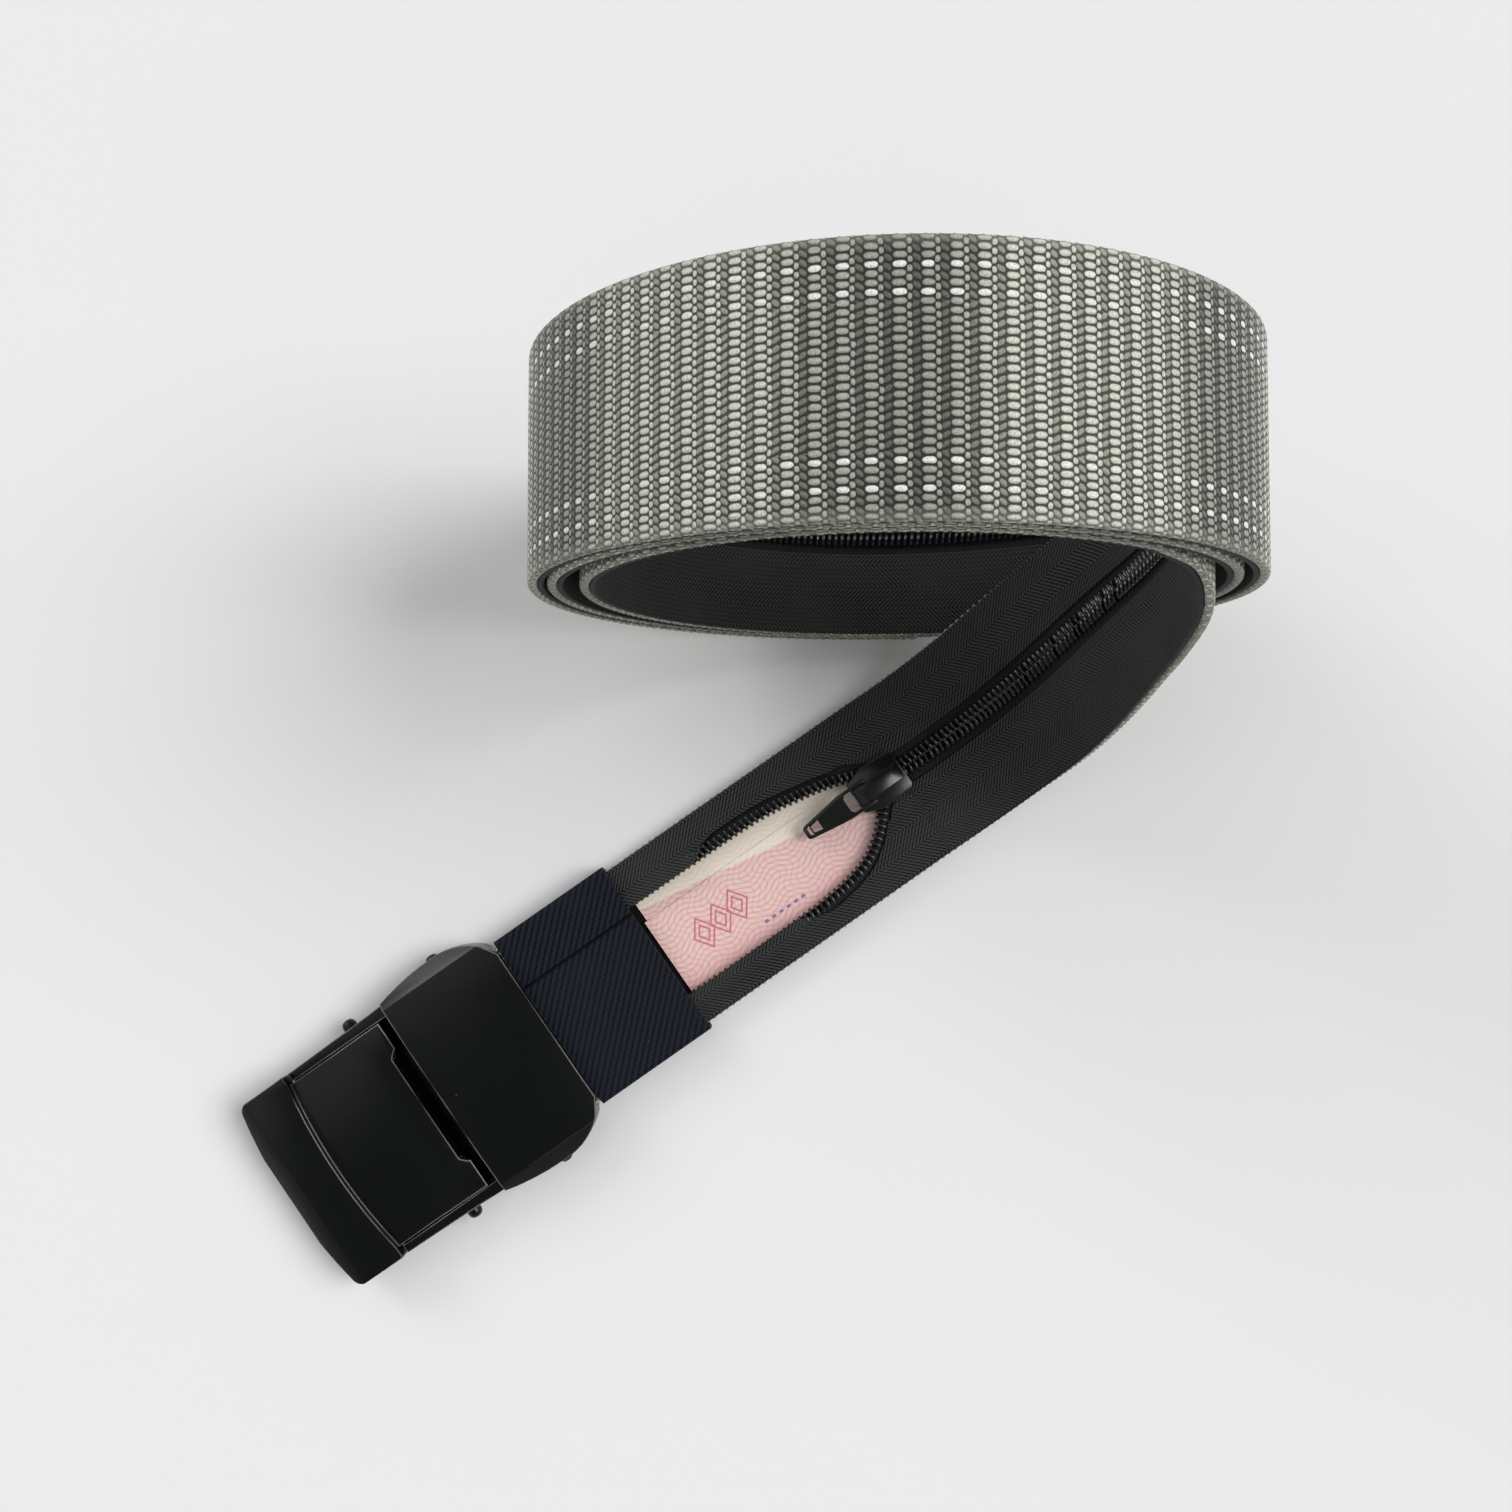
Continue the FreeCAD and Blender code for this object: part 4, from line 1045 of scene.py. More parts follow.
def eased(rows: Sequence[Sequence[float]], place: float) -> list[float]:
    """Read a table of rising places with smooth curves between its rows.

    Args:
        rows: Rows of a place and its values.
        place: Where to read.

    Returns:
        The values there.
    """
    last = len(rows) - 1
    i = 0
    while i < last - 1 and place > rows[i + 1][0]:
        i += 1
    low, high = rows[i], rows[i + 1]
    span = high[0] - low[0]
    t = min(max((place - low[0]) / span, 0.0), 1.0)

    def slope(k: int, column: int) -> float:
        if k in (0, last):
            return 0.0
        before, here, after = rows[k - 1], rows[k], rows[k + 1]
        back = (here[column] - before[column]) / (here[0] - before[0])
        ahead = (after[column] - here[column]) / (after[0] - here[0])
        return 0.0 if back * ahead <= 0 else 2 * back * ahead / (back + ahead)

    found = []
    for column in range(1, len(low)):
        rise = slope(i, column) * span
        fall = slope(i + 1, column) * span
        a, b = low[column], high[column]
        found.append(
            a * (2 * t**3 - 3 * t**2 + 1)
            + rise * (t**3 - 2 * t**2 + t)
            + b * (3 * t**2 - 2 * t**3)
            + fall * (t**3 - t**2)
        )
    return found


@dataclass
class BeltRoute:
    """The way of the belt: fold, run on the table, climb and roll. Millimetres and degrees."""

    width: float = 38.0
    thick: float = 1.6
    lift: float = 0.85
    bar_x: float = 10.5
    bar_z: float = 4.05
    fold_end: float = 39.0
    strip_end: float = 105.0
    axis_high: float = 60.9
    roll_start: float = 50.0
    roll_end: float = 1000.0
    foot: tuple[float, float] = (115.8, 27.7)
    turned: float = 34.84
    radii: tuple[float, ...] = (52.6, 54.7, 52.1, 55.2, 56.8, 57.8, 57.4, 58.3, 60.8, 60.9, 60.6, 61.4)
    fold_bend: float = 38.0
    fold_top: float = 5.1
    rise: tuple[float, float, float] = (113.0, 1.3, 3.4)
    climb: tuple[tuple[tuple[float, float, float], tuple[float, float, float]], ...] = (
        ((30.7, -35.2, 4.1), (9.1, -4.1, 7.1)),
        ((35.7, -31.3, 8.3), (15.1, 0.5, 11.3)),
        ((40.2, -27.6, 14.4), (20.4, 4.8, 15.1)),
        ((43.8, -24.1, 21.8), (26.1, 9.4, 19.4)),
        ((46.8, -20.1, 31.6), (32.6, 14.5, 25.2)),
        ((48.5, -16.8, 40.3), (39.2, 19.3, 33.0)),
        ((49.7, -13.6, 49.4), (46.0, 24.0, 44.6)),
        ((50.6, -10.5, 59.2), (49.7, 27.4, 55.3)),
        ((50.3, -6.6, 72.9), (51.2, 31.2, 69.0)),
        ((48.0, -3.7, 83.1), (49.3, 34.1, 80.0)),
        ((43.7, -1.0, 91.6), (43.7, 37.0, 91.6)),
    )

    def __post_init__(self) -> None:
        """Work out the stations of the whole belt."""
        self.half = self.width / 2
        turn = Matrix.Rotation(math.radians(-self.turned), 4, "Z")
        self.stand = Matrix.Translation((*self.foot, 0)) @ turn
        strip = [self.flat(x) for x in self.steps(self.bar_x, self.strip_end, 0.9)]
        climb = self.climb_stations(7)
        roll = self.roll_stations(2.0)
        self.strip = self.measured(strip, 0.0)
        self.rising = self.measured(climb, self.strip[-1].run)
        self.roll = self.measured(roll, self.rising[-1].run)

    @staticmethod
    def steps(start: float, end: float, size: float) -> list[float]:
        """Even steps from start to end, each about the given size."""
        count = max(1, round(abs(end - start) / size))
        return [start + (end - start) * i / count for i in range(count + 1)]

    @staticmethod
    def measured(stations: Sequence[Station], start: float) -> list[Station]:
        """Write the distance along the belt into each station.

        Args:
            stations: Stations in order.
            start: Distance at the first.

        Returns:
            New stations.
        """
        found = [Station(stations[0].centre, stations[0].width, stations[0].inward, start)]
        for here in stations[1:]:
            run = found[-1].run + (here.centre - found[-1].centre).length
            found.append(Station(here.centre, here.width, here.inward, run))
        return found

    def flat(self, x: float) -> Station:
        """A station of the run on the table."""
        return Station(Vector((x, 0, self.lift)), Vector((0, 1, 0)), Vector((0, 0, 1)), 0.0)

    def roll_radius(self, degrees: float) -> float:
        """Outer radius of the roll at an angle."""
        quarter = min(int(degrees // 90), len(self.radii) - 2)
        share = min((degrees - 90 * quarter) / 90, 1.0)
        ease = (1 - math.cos(math.pi * share)) / 2
        low, high = self.radii[quarter : quarter + 2]
        return low + (high - low) * ease

    def roll_spot(self, degrees: float) -> Vector:
        """A point of the roll's outer face at its near edge, in the roll's own frame."""
        angle, reach = math.radians(degrees), self.roll_radius(degrees)
        return Vector((reach * math.cos(angle), 0, self.axis_high + reach * math.sin(angle)))

    def roll_stations(self, step: float) -> list[Station]:
        """Stations of the roll, one every step degrees."""
        turn = self.stand.to_3x3()
        width = turn @ Vector((0, 1, 0))
        found = []
        for degrees in self.steps(self.roll_start, self.roll_end, step):
            heading = turn @ (self.roll_spot(degrees + 0.05) - self.roll_spot(degrees - 0.05)).normalized()
            centre = self.stand @ (self.roll_spot(degrees) + Vector((0, self.half, 0)))
            found.append(Station(centre, width, heading.cross(width).normalized(), degrees))
        return found

    def climb_stations(self, steps: int) -> list[Station]:
        """Stations from the end of the run on the table up to the roll.

        Args:
            steps: Divisions between two given places.

        Returns:
            The stations.
        """
        place, low, high = self.rise
        near = [Vector((self.strip_end, -self.half, self.lift)), Vector((place, -self.half, low))]
        far = [Vector((self.strip_end, self.half, self.lift)), Vector((place, self.half, high))]
        near += [self.stand @ Vector(n) for n, f in self.climb]
        far += [self.stand @ Vector(f) for n, f in self.climb]
        top = self.roll_spot(self.roll_start)
        near.append(self.stand @ top)
        far.append(self.stand @ (top + Vector((0, self.width, 0))))
        near, far = self.curve(near, steps), self.curve(far, steps)
        centres = [(n + f) * 0.5 for n, f in zip(near, far)]
        top_heading = (self.roll_spot(self.roll_start + 0.05) - top).normalized()
        found = []
        for i, centre in enumerate(centres):
            width = (far[i] - near[i]).normalized()
            along = centres[min(i + 1, len(centres) - 1)] - centres[max(i - 1, 0)]
            if i == 0:
                along = Vector((1, 0, 0))
            if i == len(centres) - 1:
                along = self.stand.to_3x3() @ top_heading
            found.append(Station(centre, width, along.cross(width).normalized(), 0.0))
        return found

    @staticmethod
    def curve(points: Sequence[Vector], steps: int) -> list[Vector]:
        """Points on a smooth curve through the given ones."""
        padded = [points[0] * 2 - points[1], *points, points[-1] * 2 - points[-2]]
        found = []
        for before, here, there, after in zip(padded, padded[1:], padded[2:], padded[3:]):
            for i in range(steps):
                t = i / steps
                bend = (before * -1 + here * 3 - there * 3 + after) * t**3
                bend = bend + (before * 2 - here * 5 + there * 4 - after) * t**2
                found.append(here + (bend + (there - before) * t) * 0.5)
        return found + [points[-1]]

    def fold(self) -> list[Station]:
        """Stations of the folded end, from its cut end over the strap bar to the run below."""
        reach = self.bar_z - self.lift
        crest = self.bar_z + reach
        bend = math.radians(self.fold_bend)
        radius = (crest - self.fold_top) / (1 - math.cos(bend)) / 2
        ramp = 2 * radius * math.sin(bend)
        heads: list[tuple[float, float]] = []
        for x in self.steps(self.fold_end, self.bar_x + ramp, 1.5):
            heads.append((x, self.fold_top))
        for i in range(1, 11):
            turned = bend * min(i, 10 - i) / 5
            side, rise = radius * math.sin(turned), radius * (1 - math.cos(turned))
            if i < 5:
                heads.append((self.bar_x + ramp - side, self.fold_top + rise))
            else:
                heads.append((self.bar_x + side, crest - rise))
        for i in range(1, 17):
            angle = math.radians(90 + 180 * i / 16)
            heads.append((self.bar_x + reach * math.cos(angle), self.bar_z + reach * math.sin(angle)))
        found = []
        for i, (x, z) in enumerate(heads):
            before, after = heads[max(i - 1, 0)], heads[min(i + 1, len(heads) - 1)]
            along = Vector((after[0] - before[0], 0, after[1] - before[1])).normalized()
            if i == len(heads) - 1:
                along = Vector((1, 0, 0))
            inward = Vector((-along.z, 0, along.x))
            found.append(Station(Vector((x, 0, z)), Vector((0, 1, 0)), inward, 0.0))
        runs = self.measured(found, 0.0)
        return [Station(s.centre, s.width, s.inward, s.run - runs[-1].run) for s in runs]

    def run_at(self, degrees: float) -> float:
        """Distance along the belt at an angle of the roll."""
        share = (degrees - self.roll_start) / (self.roll_end - self.roll_start)
        return self.roll[round(share * (len(self.roll) - 1))].run

    def whole(self) -> list[Station]:
        """Every station of the webbing."""
        return self.fold() + self.strip[1:] + self.rising[1:] + self.roll[1:]

    def pocket(self, start: float, last_degrees: float) -> list[Station]:
        """Stations of the pocket, from a place on the table to an angle of the roll.

        Args:
            start: First x.
            last_degrees: Last angle of the roll.

        Returns:
            The stations.
        """
        strip = [s for s in self.strip if s.centre.x >= start]
        count = round((last_degrees - self.roll_start) / (self.roll_end - self.roll_start) * (len(self.roll) - 1))
        return strip + self.rising[1:] + self.roll[1 : count + 1]


@dataclass
class Webbing:
    """The ribbed webbing and the loops of yarn along its two edges."""

    route: BeltRoute
    loop_spacing: float = 1.86
    run_spacing: float = 1.55
    edge_round: float = 0.62

    def build(self, palette: Palette) -> None:
        """Make the webbing and its edge loops.

        Args:
            palette: The finishes.
        """
        half, thick = self.route.half - 0.25, self.route.thick
        stations = self.route.whole()
        ring = soften([(-half, thick), (-half, 0), (half, 0), (half, thick)], self.edge_round, 3)
        obj = sweep("webbing", stations, [ring] * len(stations), wrapped=True)
        dress(obj, palette.webbing, "belt", "webbing_grey", "webbing")
        loops = Repeat("edge_loops", self.loop, {"Round": 0.001, "Flat": 0.0004, "High": 0.0009})
        split = len(self.route.fold()) + len(self.route.strip) + len(self.route.rising) * 2 // 3
        for name, part, inset, spacing, sizes in (
            ("webbing_edges", stations[split:], 0.3, self.loop_spacing, (0.00098, 0.0003, 0.00066)),
            ("webbing_edges_run", stations[: split + 1], 0.1, self.run_spacing, (0.0005, 0.0003, 0.00055)),
        ):
            lines = []
            for side in (-1, 1):
                place = side * (half - inset)
                lines.append([(s.point(place, thick / 2), s.inward) for s in part])
            long, flat, high = sizes
            obj = loops.lay(name, lines, palette.yarn, Spacing=spacing * MM, Lean=0.42, Round=long, Flat=flat, High=high)
            dress(obj, palette.yarn, "belt", "webbing_grey")

    @staticmethod
    def loop(graph: Graph, sizes: dict[str, Socket]) -> Socket:
        """One loop of edge yarn: a small rounded form, longer through the belt than across."""
        ball = graph.add("GeometryNodeMeshUVSphere")
        ball.inputs["Segments"].default_value = 8
        ball.inputs["Rings"].default_value = 5
        ball.inputs["Radius"].default_value = 1.0
        shaped = graph.add("GeometryNodeTransform")
        graph.feed(shaped.inputs["Geometry"], ball.outputs[0])
        graph.feed(shaped.inputs["Scale"], graph.vector(sizes["Round"], sizes["Flat"], sizes["High"]))
        return shaped.outputs[0]


@dataclass
class Pocket:
    """The lining, the zip tapes and the rows of teeth.

    Fields:
        lips: Place along the belt, then how far the near and far lips are drawn over the teeth.
        fixed_end: Where the parted rows stay put when the slider moves.
        travel: How far the slider runs; not used.
    """

    route: BeltRoute
    zip_line: float = 1.5
    tape_low: float = 1.65
    tape_top: float = 2.0
    lining_low: float = 2.05
    lining_top: float = 2.6
    lining_edge: float = 18.6
    teeth_low: float = 2.05
    teeth_high: float = 1.15
    teeth_wide: float = 1.9
    tape_reach: float = 8.0
    tape_wide: float = 3.2
    flat_reach: float = 5.3
    setback: float = 3.7
    pitch: float = 1.3
    zip_end: float = 320.0
    crest: float = 1.45
    fixed_end: float = 43.0
    travel: float = 36.0
    lips: tuple[tuple[float, float, float], ...] = (
        (39.5, 0.0, 0.0), (43.0, 1.0, 1.0), (59.0, 1.0, 1.0), (67.0, 1.0, 0.0), (70.0, 1.0, 0.0), (79.0, 0.0, 0.0),
    )
    mouth: tuple[tuple[float, float, float, float], ...] = (
        (19.0, 13.4, 8.6, 0.0), (43.0, 13.4, 8.6, 0.0), (50.0, 13.5, 8.5, 0.9), (62.0, 13.6, 8.4, 1.4),
        (72.0, 13.5, 8.3, 1.45), (79.0, 13.1, 7.8, 1.45), (85.5, 12.2, 6.7, 1.45), (90.0, 10.8, 5.8, 1.45),
        (95.0, 7.6, 4.4, 1.45), (98.0, 4.6, 3.0, 1.45), (100.0, 2.2, 1.8, 1.45), (103.0, 0.25, 0.25, 1.45),
        (106.8, 0.03, 0.03, 1.45),
    )

    def opening(self, station: Station, side: int) -> tuple[float, float]:
        """How far a row of teeth stands from the zip line at a station, and its lift.

        Args:
            station: The place.
            side: 1 for the far row, -1 for the near row.

        Returns:
            The row's offset and lift.
        """
        end = self.mouth[-1][0]
        if station.run + self.route.bar_x < end:
            near, far, lift = eased(self.mouth, station.run + self.route.bar_x)
            return (far if side > 0 else near), lift
        gone = (station.run + self.route.bar_x - end) / 9.0
        return self.mouth[-1][1], self.crest * max(0.0, 1 - gone)

    def tape(self, side: int, row: float, lift: float) -> Outline:
        """Section of one zip tape."""
        inner = self.zip_line + side * (row + 0.05)
        bend = self.zip_line + side * max(self.flat_reach, row + 0.1)
        outer = self.zip_line + side * max(self.tape_reach, row + self.tape_wide)
        outer = side * min(side * outer, self.lining_edge - 1.5)
        low, top = self.tape_low, self.tape_top
        return [(inner, low + lift), (bend, low + lift), (outer, low), (outer, top), (bend, top + lift), (inner, top + lift)]

    def covering(self, station: Station, side: int) -> float:
        """How far the lining's lip is drawn over the teeth at a station, from 0 to 1."""
        near, far = eased(self.lips, station.run + self.route.bar_x)
        return far if side > 0 else near

    def lining(self, side: int, row: float, lift: float, over: float = 0.0) -> Outline:
        """Section of one half of the lining, which lies on its tape and is hemmed at the edge.

        Args:
            side: 1 for the far half, -1 for the near half.
            row: How far the teeth stand from the zip line.
            lift: How high the zip is lifted.
            over: How far the lip is drawn over the teeth.

        Returns:
            The outline.
        """
        bend, tape_out = (point[0] for point in self.tape(side, row, lift)[1:3])
        step = tape_out + side * 0.3
        inner = side * min(side * self.zip_line + row + self.setback, side * step - 0.6)
        knee = side * max(side * bend, side * inner + 0.1)
        inner += (self.zip_line + side * (row - 0.2) - inner) * over
        knee += (self.zip_line + side * (row + self.teeth_wide) - knee) * over
        edge = side * self.lining_edge
        rise = (self.teeth_high + 0.15) * over

        def lifted(across: float, level: float) -> tuple[float, float]:
            share = min(1.0, (tape_out - across) / (tape_out - bend))
            return across, level + rise + lift * max(0.0, share)

        return [
            lifted(inner, self.lining_low),
            lifted(knee, self.lining_low),
            (step, self.lining_low),
            (step, self.tape_low),
            (edge, self.tape_low),
            (edge, self.lining_top),
            (step, self.lining_top),
            lifted(knee, self.lining_top),
            lifted(inner, self.lining_top),
        ]

    def build(self, palette: Palette) -> None:
        """Make the lining, tapes, teeth and the lining past the end of the zip.

        Args:
            palette: The finishes.
        """
        stations = self.route.pocket(19.0, self.zip_end)
        for word, side in (("far", 1), ("near", -1)):
            openings = [self.opening(s, side) for s in stations]
            rings = [soften(self.tape(side, *o), 0.12, 2) for o in openings]
            obj = sweep(f"zip_tape_{word}", stations, rings)
            dress(obj, palette.tape, "belt", "lining_black", f"zip_tape_{word}")
            lips = [self.covering(s, side) for s in stations]
            rings = [soften(self.lining(side, *o, lip), 0.22, 3) for o, lip in zip(openings, lips)]
            obj = sweep(f"lining_{word}", stations, rings)
            dress(obj, palette.lining, "belt", "lining_black", f"lining_{word}")
        self.teeth(palette)
        tail = [s for s in self.route.roll if s.run >= stations[-1].run][:-1]
        edge = self.lining_edge
        ring = soften([(-edge, self.lining_top), (-edge, self.tape_low), (edge, self.tape_low), (edge, self.lining_top)], 0.22, 3)
        obj = sweep("lining_tail", tail, [ring] * len(tail))
        dress(obj, palette.lining, "belt", "lining_black", "lining_tail")

    def teeth(self, palette: Palette) -> None:
        """Make the rows of coil teeth, open round the mouth and closed beyond the slider.

        Args:
            palette: The finishes.
        """
        coil = Repeat("coil_teeth", self.tooth, {"Across": 0.001, "High": 0.0005, "Wire": 0.0003})
        stations = self.route.pocket(self.fixed_end, self.zip_end - 3)
        end = self.mouth[-1][0] - self.route.bar_x
        for word, side in (("far", 1), ("near", -1)):
            rows: dict[str, list[tuple[Vector, Vector]]] = {"open": [], "closed": []}
            for station in stations:
                row, lift = self.opening(station, side)
                place = self.zip_line + side * (row + self.teeth_wide / 2 - 0.12)
                level = self.teeth_low + lift + self.teeth_high / 2
                kind = "open" if station.run < end else "closed"
                rows[kind].append((station.point(place, level), station.inward))
            for kind, line in rows.items():
                if side > 0:
                    line[0] = (line[0][0] + (line[1][0] - line[0][0]).normalized() * self.pitch * MM / 2, line[0][1])
                name = f"{kind}_teeth_{word}"
                obj = coil.lay(
                    name, [line], palette.nylon, Spacing=self.pitch * MM, Lean=0.16 * side,
                    Across=(self.teeth_wide / 2 + 0.16) * MM, High=self.teeth_high / 2 * MM * 0.62, Wire=0.36 * MM,
                )
                dress(obj, palette.nylon, "belt", "nylon_black", name)
                if kind == "open":
                    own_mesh(obj)

    @staticmethod
    def tooth(graph: Graph, sizes: dict[str, Socket]) -> Socket:
        """One turn of the coil: a flattened ring of wire across the zip."""
        ring = graph.add("GeometryNodeCurvePrimitiveCircle")
        ring.inputs["Resolution"].default_value = 8
        ring.inputs["Radius"].default_value = 1.0
        upright = graph.add("GeometryNodeTransform")
        graph.feed(upright.inputs["Geometry"], ring.outputs[0])
        upright.inputs["Rotation"].default_value = (math.radians(90), 0, math.radians(90))
        flat = graph.add("GeometryNodeTransform")
        graph.feed(flat.inputs["Geometry"], upright.outputs[0])
        graph.feed(flat.inputs["Scale"], graph.vector(1.0, sizes["Across"], sizes["High"]))
        wire = graph.add("GeometryNodeCurvePrimitiveCircle")
        wire.inputs["Resolution"].default_value = 6
        graph.feed(wire.inputs["Radius"], sizes["Wire"])
        tube = graph.add("GeometryNodeCurveToMesh")
        graph.feed(tube.inputs["Curve"], flat.outputs[0])
        graph.feed(tube.inputs["Profile Curve"], wire.outputs[0])
        return tube.outputs[0]


@dataclass
class ZipSlider:
    """The slider, its bridge and its pull."""

    rounding: float = 0.00025

    def build(self, palette: Palette) -> None:
        """Make the slider's three pieces.

        Args:
            palette: The finishes.
        """
        obj = rounded_copy("slider_body", "slider_body", self.rounding)
        dress(obj, palette.gloss, "slider", "slider_black", "slider_body")
        obj = rounded_copy("slider_bridge", "slider_bridge", self.rounding)
        dress(obj, palette.gloss, "slider", "slider_black", "slider_bridge")
        obj = rounded_copy("pull_tab", "pull_tab", self.rounding)
        dress(obj, palette.gloss, "pull", "slider_black", "pull_tab")


@dataclass
class Keeper:
    """The twill sleeve round the folded end, with a lapped seam on top."""

    start: float = 17.4
    end: float = 44.0
    side: float = 19.1
    thick: float = 0.8
    roof: float = 5.15
    flap: tuple[float, float] = (-19.0, 8.5)

    def build(self, palette: Palette) -> None:
        """Make the sleeve and its lap.

        Args:
            palette: The finishes.
        """
        stations = [
            Station(Vector((x, 0, 0)), Vector((0, 1, 0)), Vector((0, 0, 1)), x)
            for x in BeltRoute.steps(self.start, self.end, 1.3)
        ]
        out, wall = self.side + self.thick, self.thick
        outer = soften([(-out, 0), (out, 0), (out, self.roof + wall), (-out, self.roof + wall)], 1.1, 4)
        inner = soften([(-self.side, wall), (self.side, wall), (self.side, self.roof), (-self.side, self.roof)], 0.7, 4)
        obj = self.tube("keeper_sleeve", stations, outer, inner)
        dress(obj, palette.twill, "belt", "twill_navy", "keeper_sleeve")
        top = self.roof + wall
        near, far = self.flap
        lap = soften([(near, top + 0.02), (far - 0.3, top + 0.02), (far, top + 0.6), (near, top + 0.52)], 0.15, 3)
        inside = stations[:]
        obj = sweep("keeper_flap", inside, [lap] * len(inside))
        dress(obj, palette.twill, "belt", "twill_navy", "keeper_flap")

    @staticmethod
    def tube(name: str, stations: Sequence[Station], outer: Outline, inner: Outline) -> bpy.types.Object:
        """A sleeve between two outlines with the same number of points.

        Args:
            name: Name of the object.
            stations: Places along the sleeve.
            outer: Outside outline.
            inner: Inside outline.

        Returns:
            The new object.
        """
        size = len(outer)
        verts: list[Vector] = []
        plane: list[tuple[float, float]] = []
        for outline in (outer, inner):
            for station in stations:
                for across, level in outline:
                    verts.append(station.point(across, level))
                    plane.append((across, station.run))
        count = len(stations)
        faces = []
        for shell in (0, count * size):
            for i in range(count - 1):
                for k in range(size):
                    n = (k + 1) % size
                    quad = [shell + i * size + k, shell + i * size + n]
                    quad += [shell + (i + 1) * size + n, shell + (i + 1) * size + k]
                    faces.append(quad)
        for i in (0, count - 1):
            for k in range(size):
                n = (k + 1) % size
                first = i * size
                other = count * size + first
                faces.append([first + k, first + n, other + n, other + k])
        return from_faces(name, verts, faces, plane)


@dataclass
class Buckle:
    """The cam buckle: frame, cover, lever, pins and toothed bar."""

    def build(self, palette: Palette) -> None:
        """Make the buckle's pieces.

        Args:
            palette: The finishes.
        """
        for node, body, width in (
            ("buckle_frame", "belt", 0.0003),
            ("cover_plate", "belt", 0.00035),
            ("cam_lever", "lever", 0.0003),
            ("clamp_teeth", "belt", 0.0002),
            ("lever_pin", "belt", 0.0012),
            ("clamp_pin", "belt", 0.0012),
        ):
            obj = rounded_copy(node, node, width)
            dress(obj, palette.satin, body, "metal_black", node)
        obj = rounded_copy("strap_bar", "strap_bar", 0.0004)
        dress(obj, palette.steel, "belt", "steel", "strap_bar")
        obj = rounded_copy("zip_end_stop", "zip_end_stop", 0.0002)
        dress(obj, palette.gloss, "belt", "nylon_black", "zip_end_stop")


@dataclass
class Note:
    """A folded paper note in the mouth of the pocket, and the pocket's dark backing under it.

    Fields:
        leaves: Name, start, far edge, low face, thickness and lift of the waves of each piece.
        narrowing: Place along the belt, near edge and far edge where the mouth closes in.
    """

    leaves: tuple[tuple[str, float, float, float, float, float], ...] = (
        ("pocket_backing", 43.2, 9.8, 2.47, 0.12, 0.0),
        ("note_under_leaf", 45.4, 9.7, 2.65, 0.14, 0.03),
        ("note_top_leaf", 44.8, 5.5, 2.9, 0.14, 0.05),
    )
    near: float = -11.9
    narrowing: tuple[tuple[float, float, float], ...] = (
        (43.0, -11.9, 9.8), (87.0, -11.9, 9.8), (91.0, -10.4, 8.6), (95.0, -7.6, 7.0), (97.0, -5.6, 5.0),
    )

    def build(self, palette: Palette) -> None:
        """Make the pieces, each a thin slab that narrows with the mouth.

        Args:
            palette: The finishes.
        """
        for name, start, far, low, thick, rise in self.leaves:
            stations = [
                Station(Vector((x, 0, 0)), Vector((0, 1, 0)), Vector((0, 0, 1)), x - start)
                for x in BeltRoute.steps(start, self.narrowing[-1][0], 1.0)
            ]
            rings = []
            for station in stations:
                near_edge, far_edge = eased(self.narrowing, station.centre.x)
                far_edge = min(far, far_edge)
                ring: Outline = []
                for i in range(19):
                    y = near_edge + (far_edge - near_edge) * i / 18
                    ring.append((y, low + rise * self.wave(station.run, y)))
                rings.append(ring + [(y, z + thick) for y, z in reversed(ring)])
            obj = sweep(name, stations, rings)
            if name == "pocket_backing":
                dress(obj, palette.backing, "belt", "lining_black", name)
            else:
                dress(obj, palette.paper, "belt", "note_paper", name)

    @staticmethod
    def wave(along: float, across: float) -> float:
        """Height of the paper's slight waves, from 0 to 2."""
        return 1 + math.sin(along * 0.16 + 0.6) * math.cos(across * 0.2)


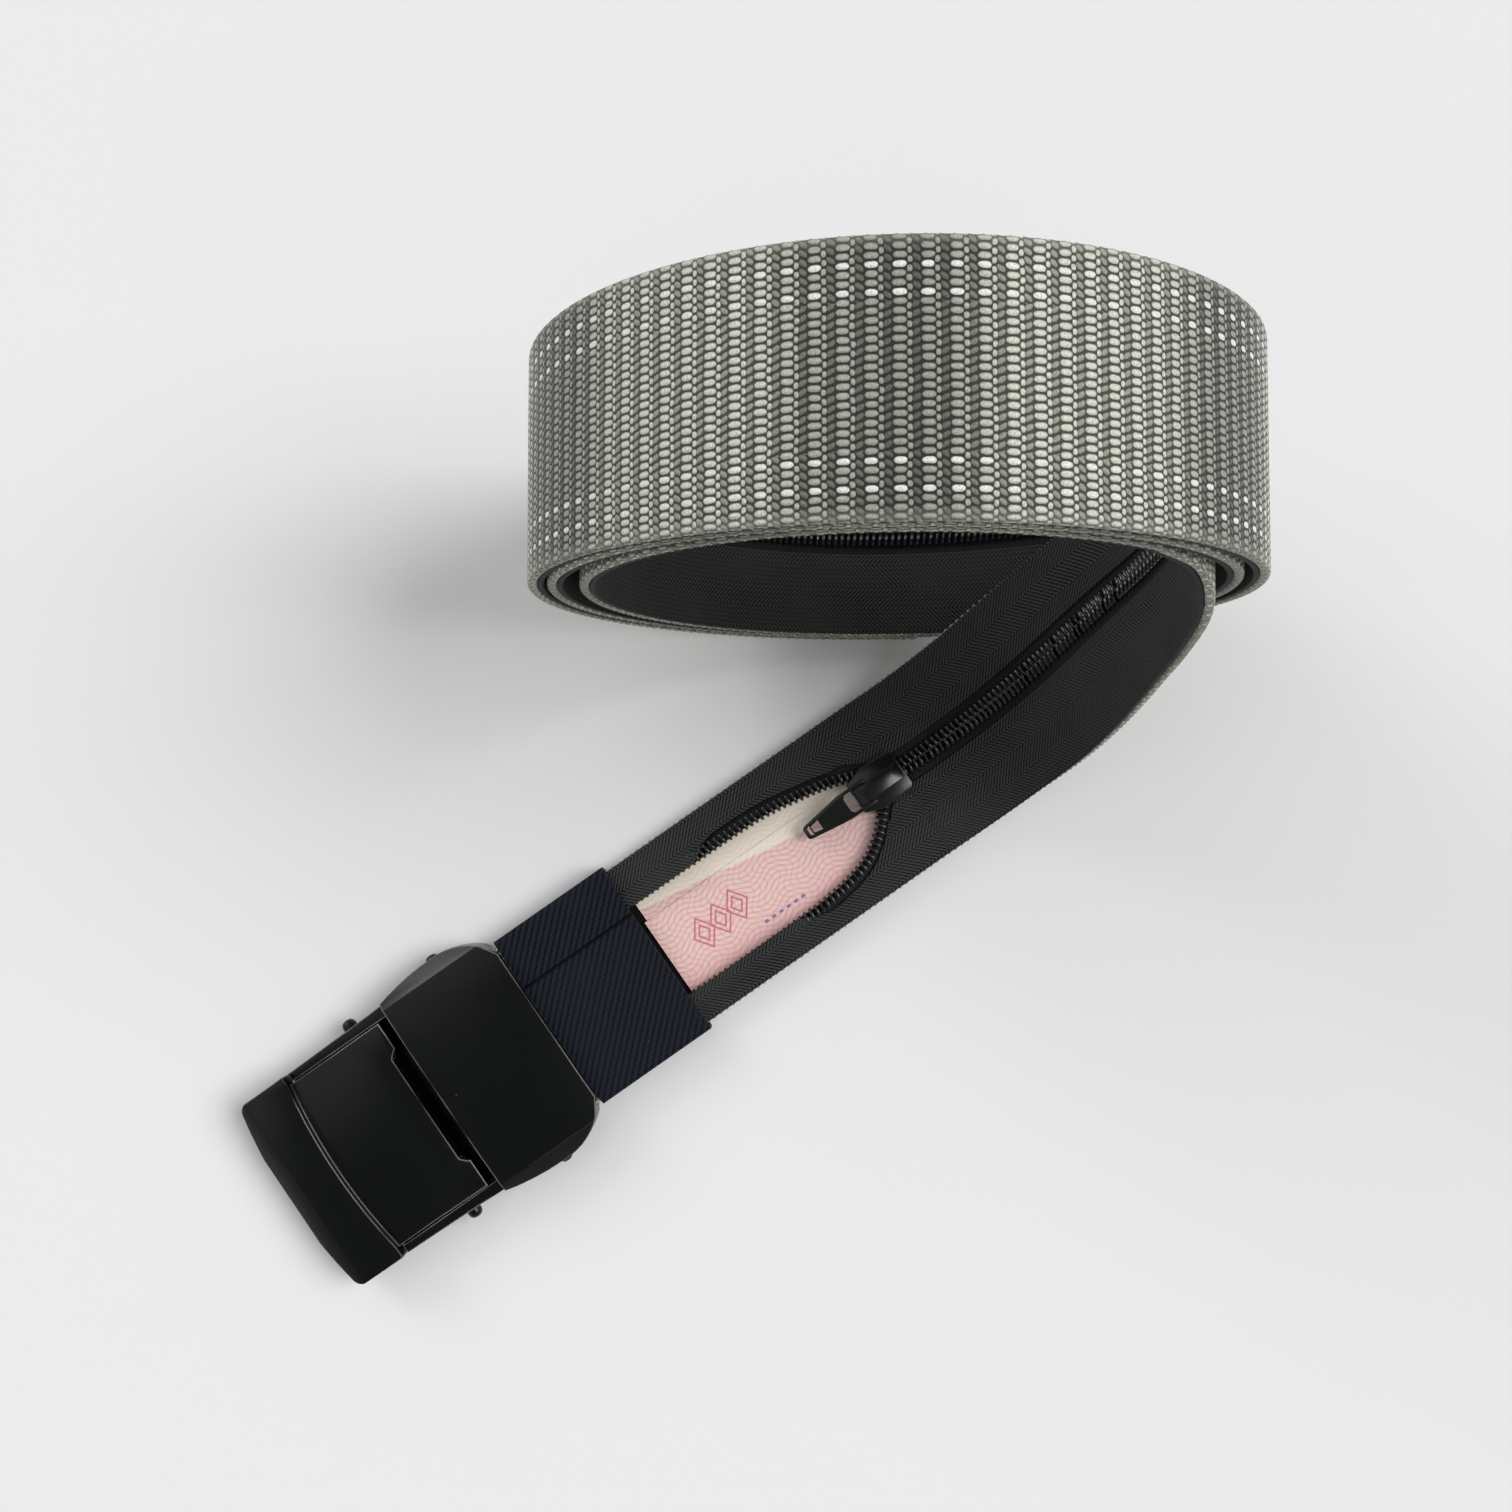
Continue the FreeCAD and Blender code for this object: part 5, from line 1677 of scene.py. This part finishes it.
@dataclass
class Studio:
    """Floor, light and camera."""

    camera_at: tuple[float, float, float] = (0.075, 0.00872, 0.3097)
    turned: float = 34.8366
    tilt: float = 2.71
    lens: float = 35.286
    overhead: float = 0.16
    horizon: float = 0.5
    lamps: tuple[tuple[str, float, float, tuple[float, float, float]], ...] = (
        ("key", 2.05, 40.0, (0.95, 0.22, 1.0)),
        ("side", 0.6, 24.0, (-0.69, 0.57, 0.45)),
        ("fill", 0.62, 70.0, (-0.75, 0.5, 0.9)),
    )

    def build(self) -> None:
        """Make the floor, the world, the lamps and the camera."""
        reach = 6.0
        mesh = bpy.data.meshes.new("table")
        corners = [(-reach, -reach, 0), (reach, -reach, 0), (reach, reach, 0), (-reach, reach, 0)]
        mesh.from_pydata(corners, [], [(0, 1, 2, 3)])
        mesh.materials.append(FloorFinish().build())
        floor = add_object("table", mesh)
        self.world()
        for lamp in self.lamps:
            self.lamp(*lamp)
        self.camera()
        scene = bpy.context.scene
        scene.view_settings.view_transform = "Standard"

    def world(self) -> None:
        """A sky that is dim overhead and bright round the horizon. The camera sees it pale."""
        world = bpy.data.worlds.new("room")
        world.use_nodes = True
        graph = Graph(world.node_tree)
        world.node_tree.nodes.clear()
        path = graph.add("ShaderNodeLightPath")
        way = graph.add("ShaderNodeTexCoord").outputs["Generated"]
        high = graph.axes(way)[2]
        level = graph.math("SUBTRACT", 1.0, graph.math("ABSOLUTE", high))
        dim = graph.add("ShaderNodeBackground")
        dim.inputs[0].default_value = (1, 1, 1, 1)
        graph.feed(dim.inputs[1], graph.math("MULTIPLY_ADD", level, self.horizon - self.overhead, self.overhead))
        pale = graph.add("ShaderNodeBackground")
        pale.inputs[0].default_value = colour(240, 240, 240)
        pale.inputs[1].default_value = 1.0
        mix = graph.add("ShaderNodeMixShader")
        graph.feed(mix.inputs[0], path.outputs["Is Camera Ray"])
        graph.feed(mix.inputs[1], dim.outputs[0])
        graph.feed(mix.inputs[2], pale.outputs[0])
        out = graph.add("ShaderNodeOutputWorld")
        graph.feed(out.inputs[0], mix.outputs[0])
        bpy.context.scene.world = world

    def lamp(self, name: str, strength: float, spread: float, source: tuple[float, float, float]) -> None:
        """A broad distant lamp.

        Args:
            name: Name of the lamp.
            strength: Its strength.
            spread: Its angular size in degrees.
            source: Direction towards it: image right, image up and above.
        """
        data = bpy.data.lights.new(name, "SUN")
        data.energy = strength
        data.angle = math.radians(spread)
        lamp = bpy.data.objects.new(name, data)
        right, ahead = self.image_axes()
        towards = right * source[0] + ahead * source[1] + Vector((0, 0, source[2]))
        lamp.rotation_euler = towards.to_track_quat("Z", "Y").to_euler()
        lamp.location = towards
        bpy.context.collection.objects.link(lamp)

    def image_axes(self) -> tuple[Vector, Vector]:
        """The directions on the table that are the picture's right and up."""
        angle = math.radians(self.turned)
        right = Vector((math.cos(angle), -math.sin(angle), 0))
        ahead = Vector((math.sin(angle), math.cos(angle), 0))
        return right, ahead

    def camera(self) -> None:
        """The camera, close to straight above and turned against the belt."""
        data = bpy.data.cameras.new("camera")
        data.lens = self.lens
        data.sensor_width = 36.0
        data.clip_start = 0.01
        data.clip_end = 20.0
        camera = bpy.data.objects.new("camera", data)
        right, ahead = self.image_axes()
        tilt = math.radians(self.tilt)
        up = ahead * math.cos(tilt) + Vector((0, 0, math.sin(tilt)))
        back = right.cross(up)
        turn = Matrix((right, up, back)).transposed().to_4x4()
        camera.matrix_world = Matrix.Translation(self.camera_at) @ turn
        bpy.context.collection.objects.link(camera)
        bpy.context.scene.camera = camera


def main() -> None:
    """Build every piece, then the studio."""
    logging.basicConfig(level=logging.INFO, format="%(message)s")
    route = BeltRoute()
    # The webbing's painted shade is darkest at 816 degrees round the roll.
    palette = Palette(route.run_at(816.0))
    Studio().build()
    Webbing(route).build(palette)
    Pocket(route).build(palette)
    ZipSlider().build(palette)
    Keeper().build(palette)
    Buckle().build(palette)
    Note().build(palette)


if __name__ == "__main__":
    main()
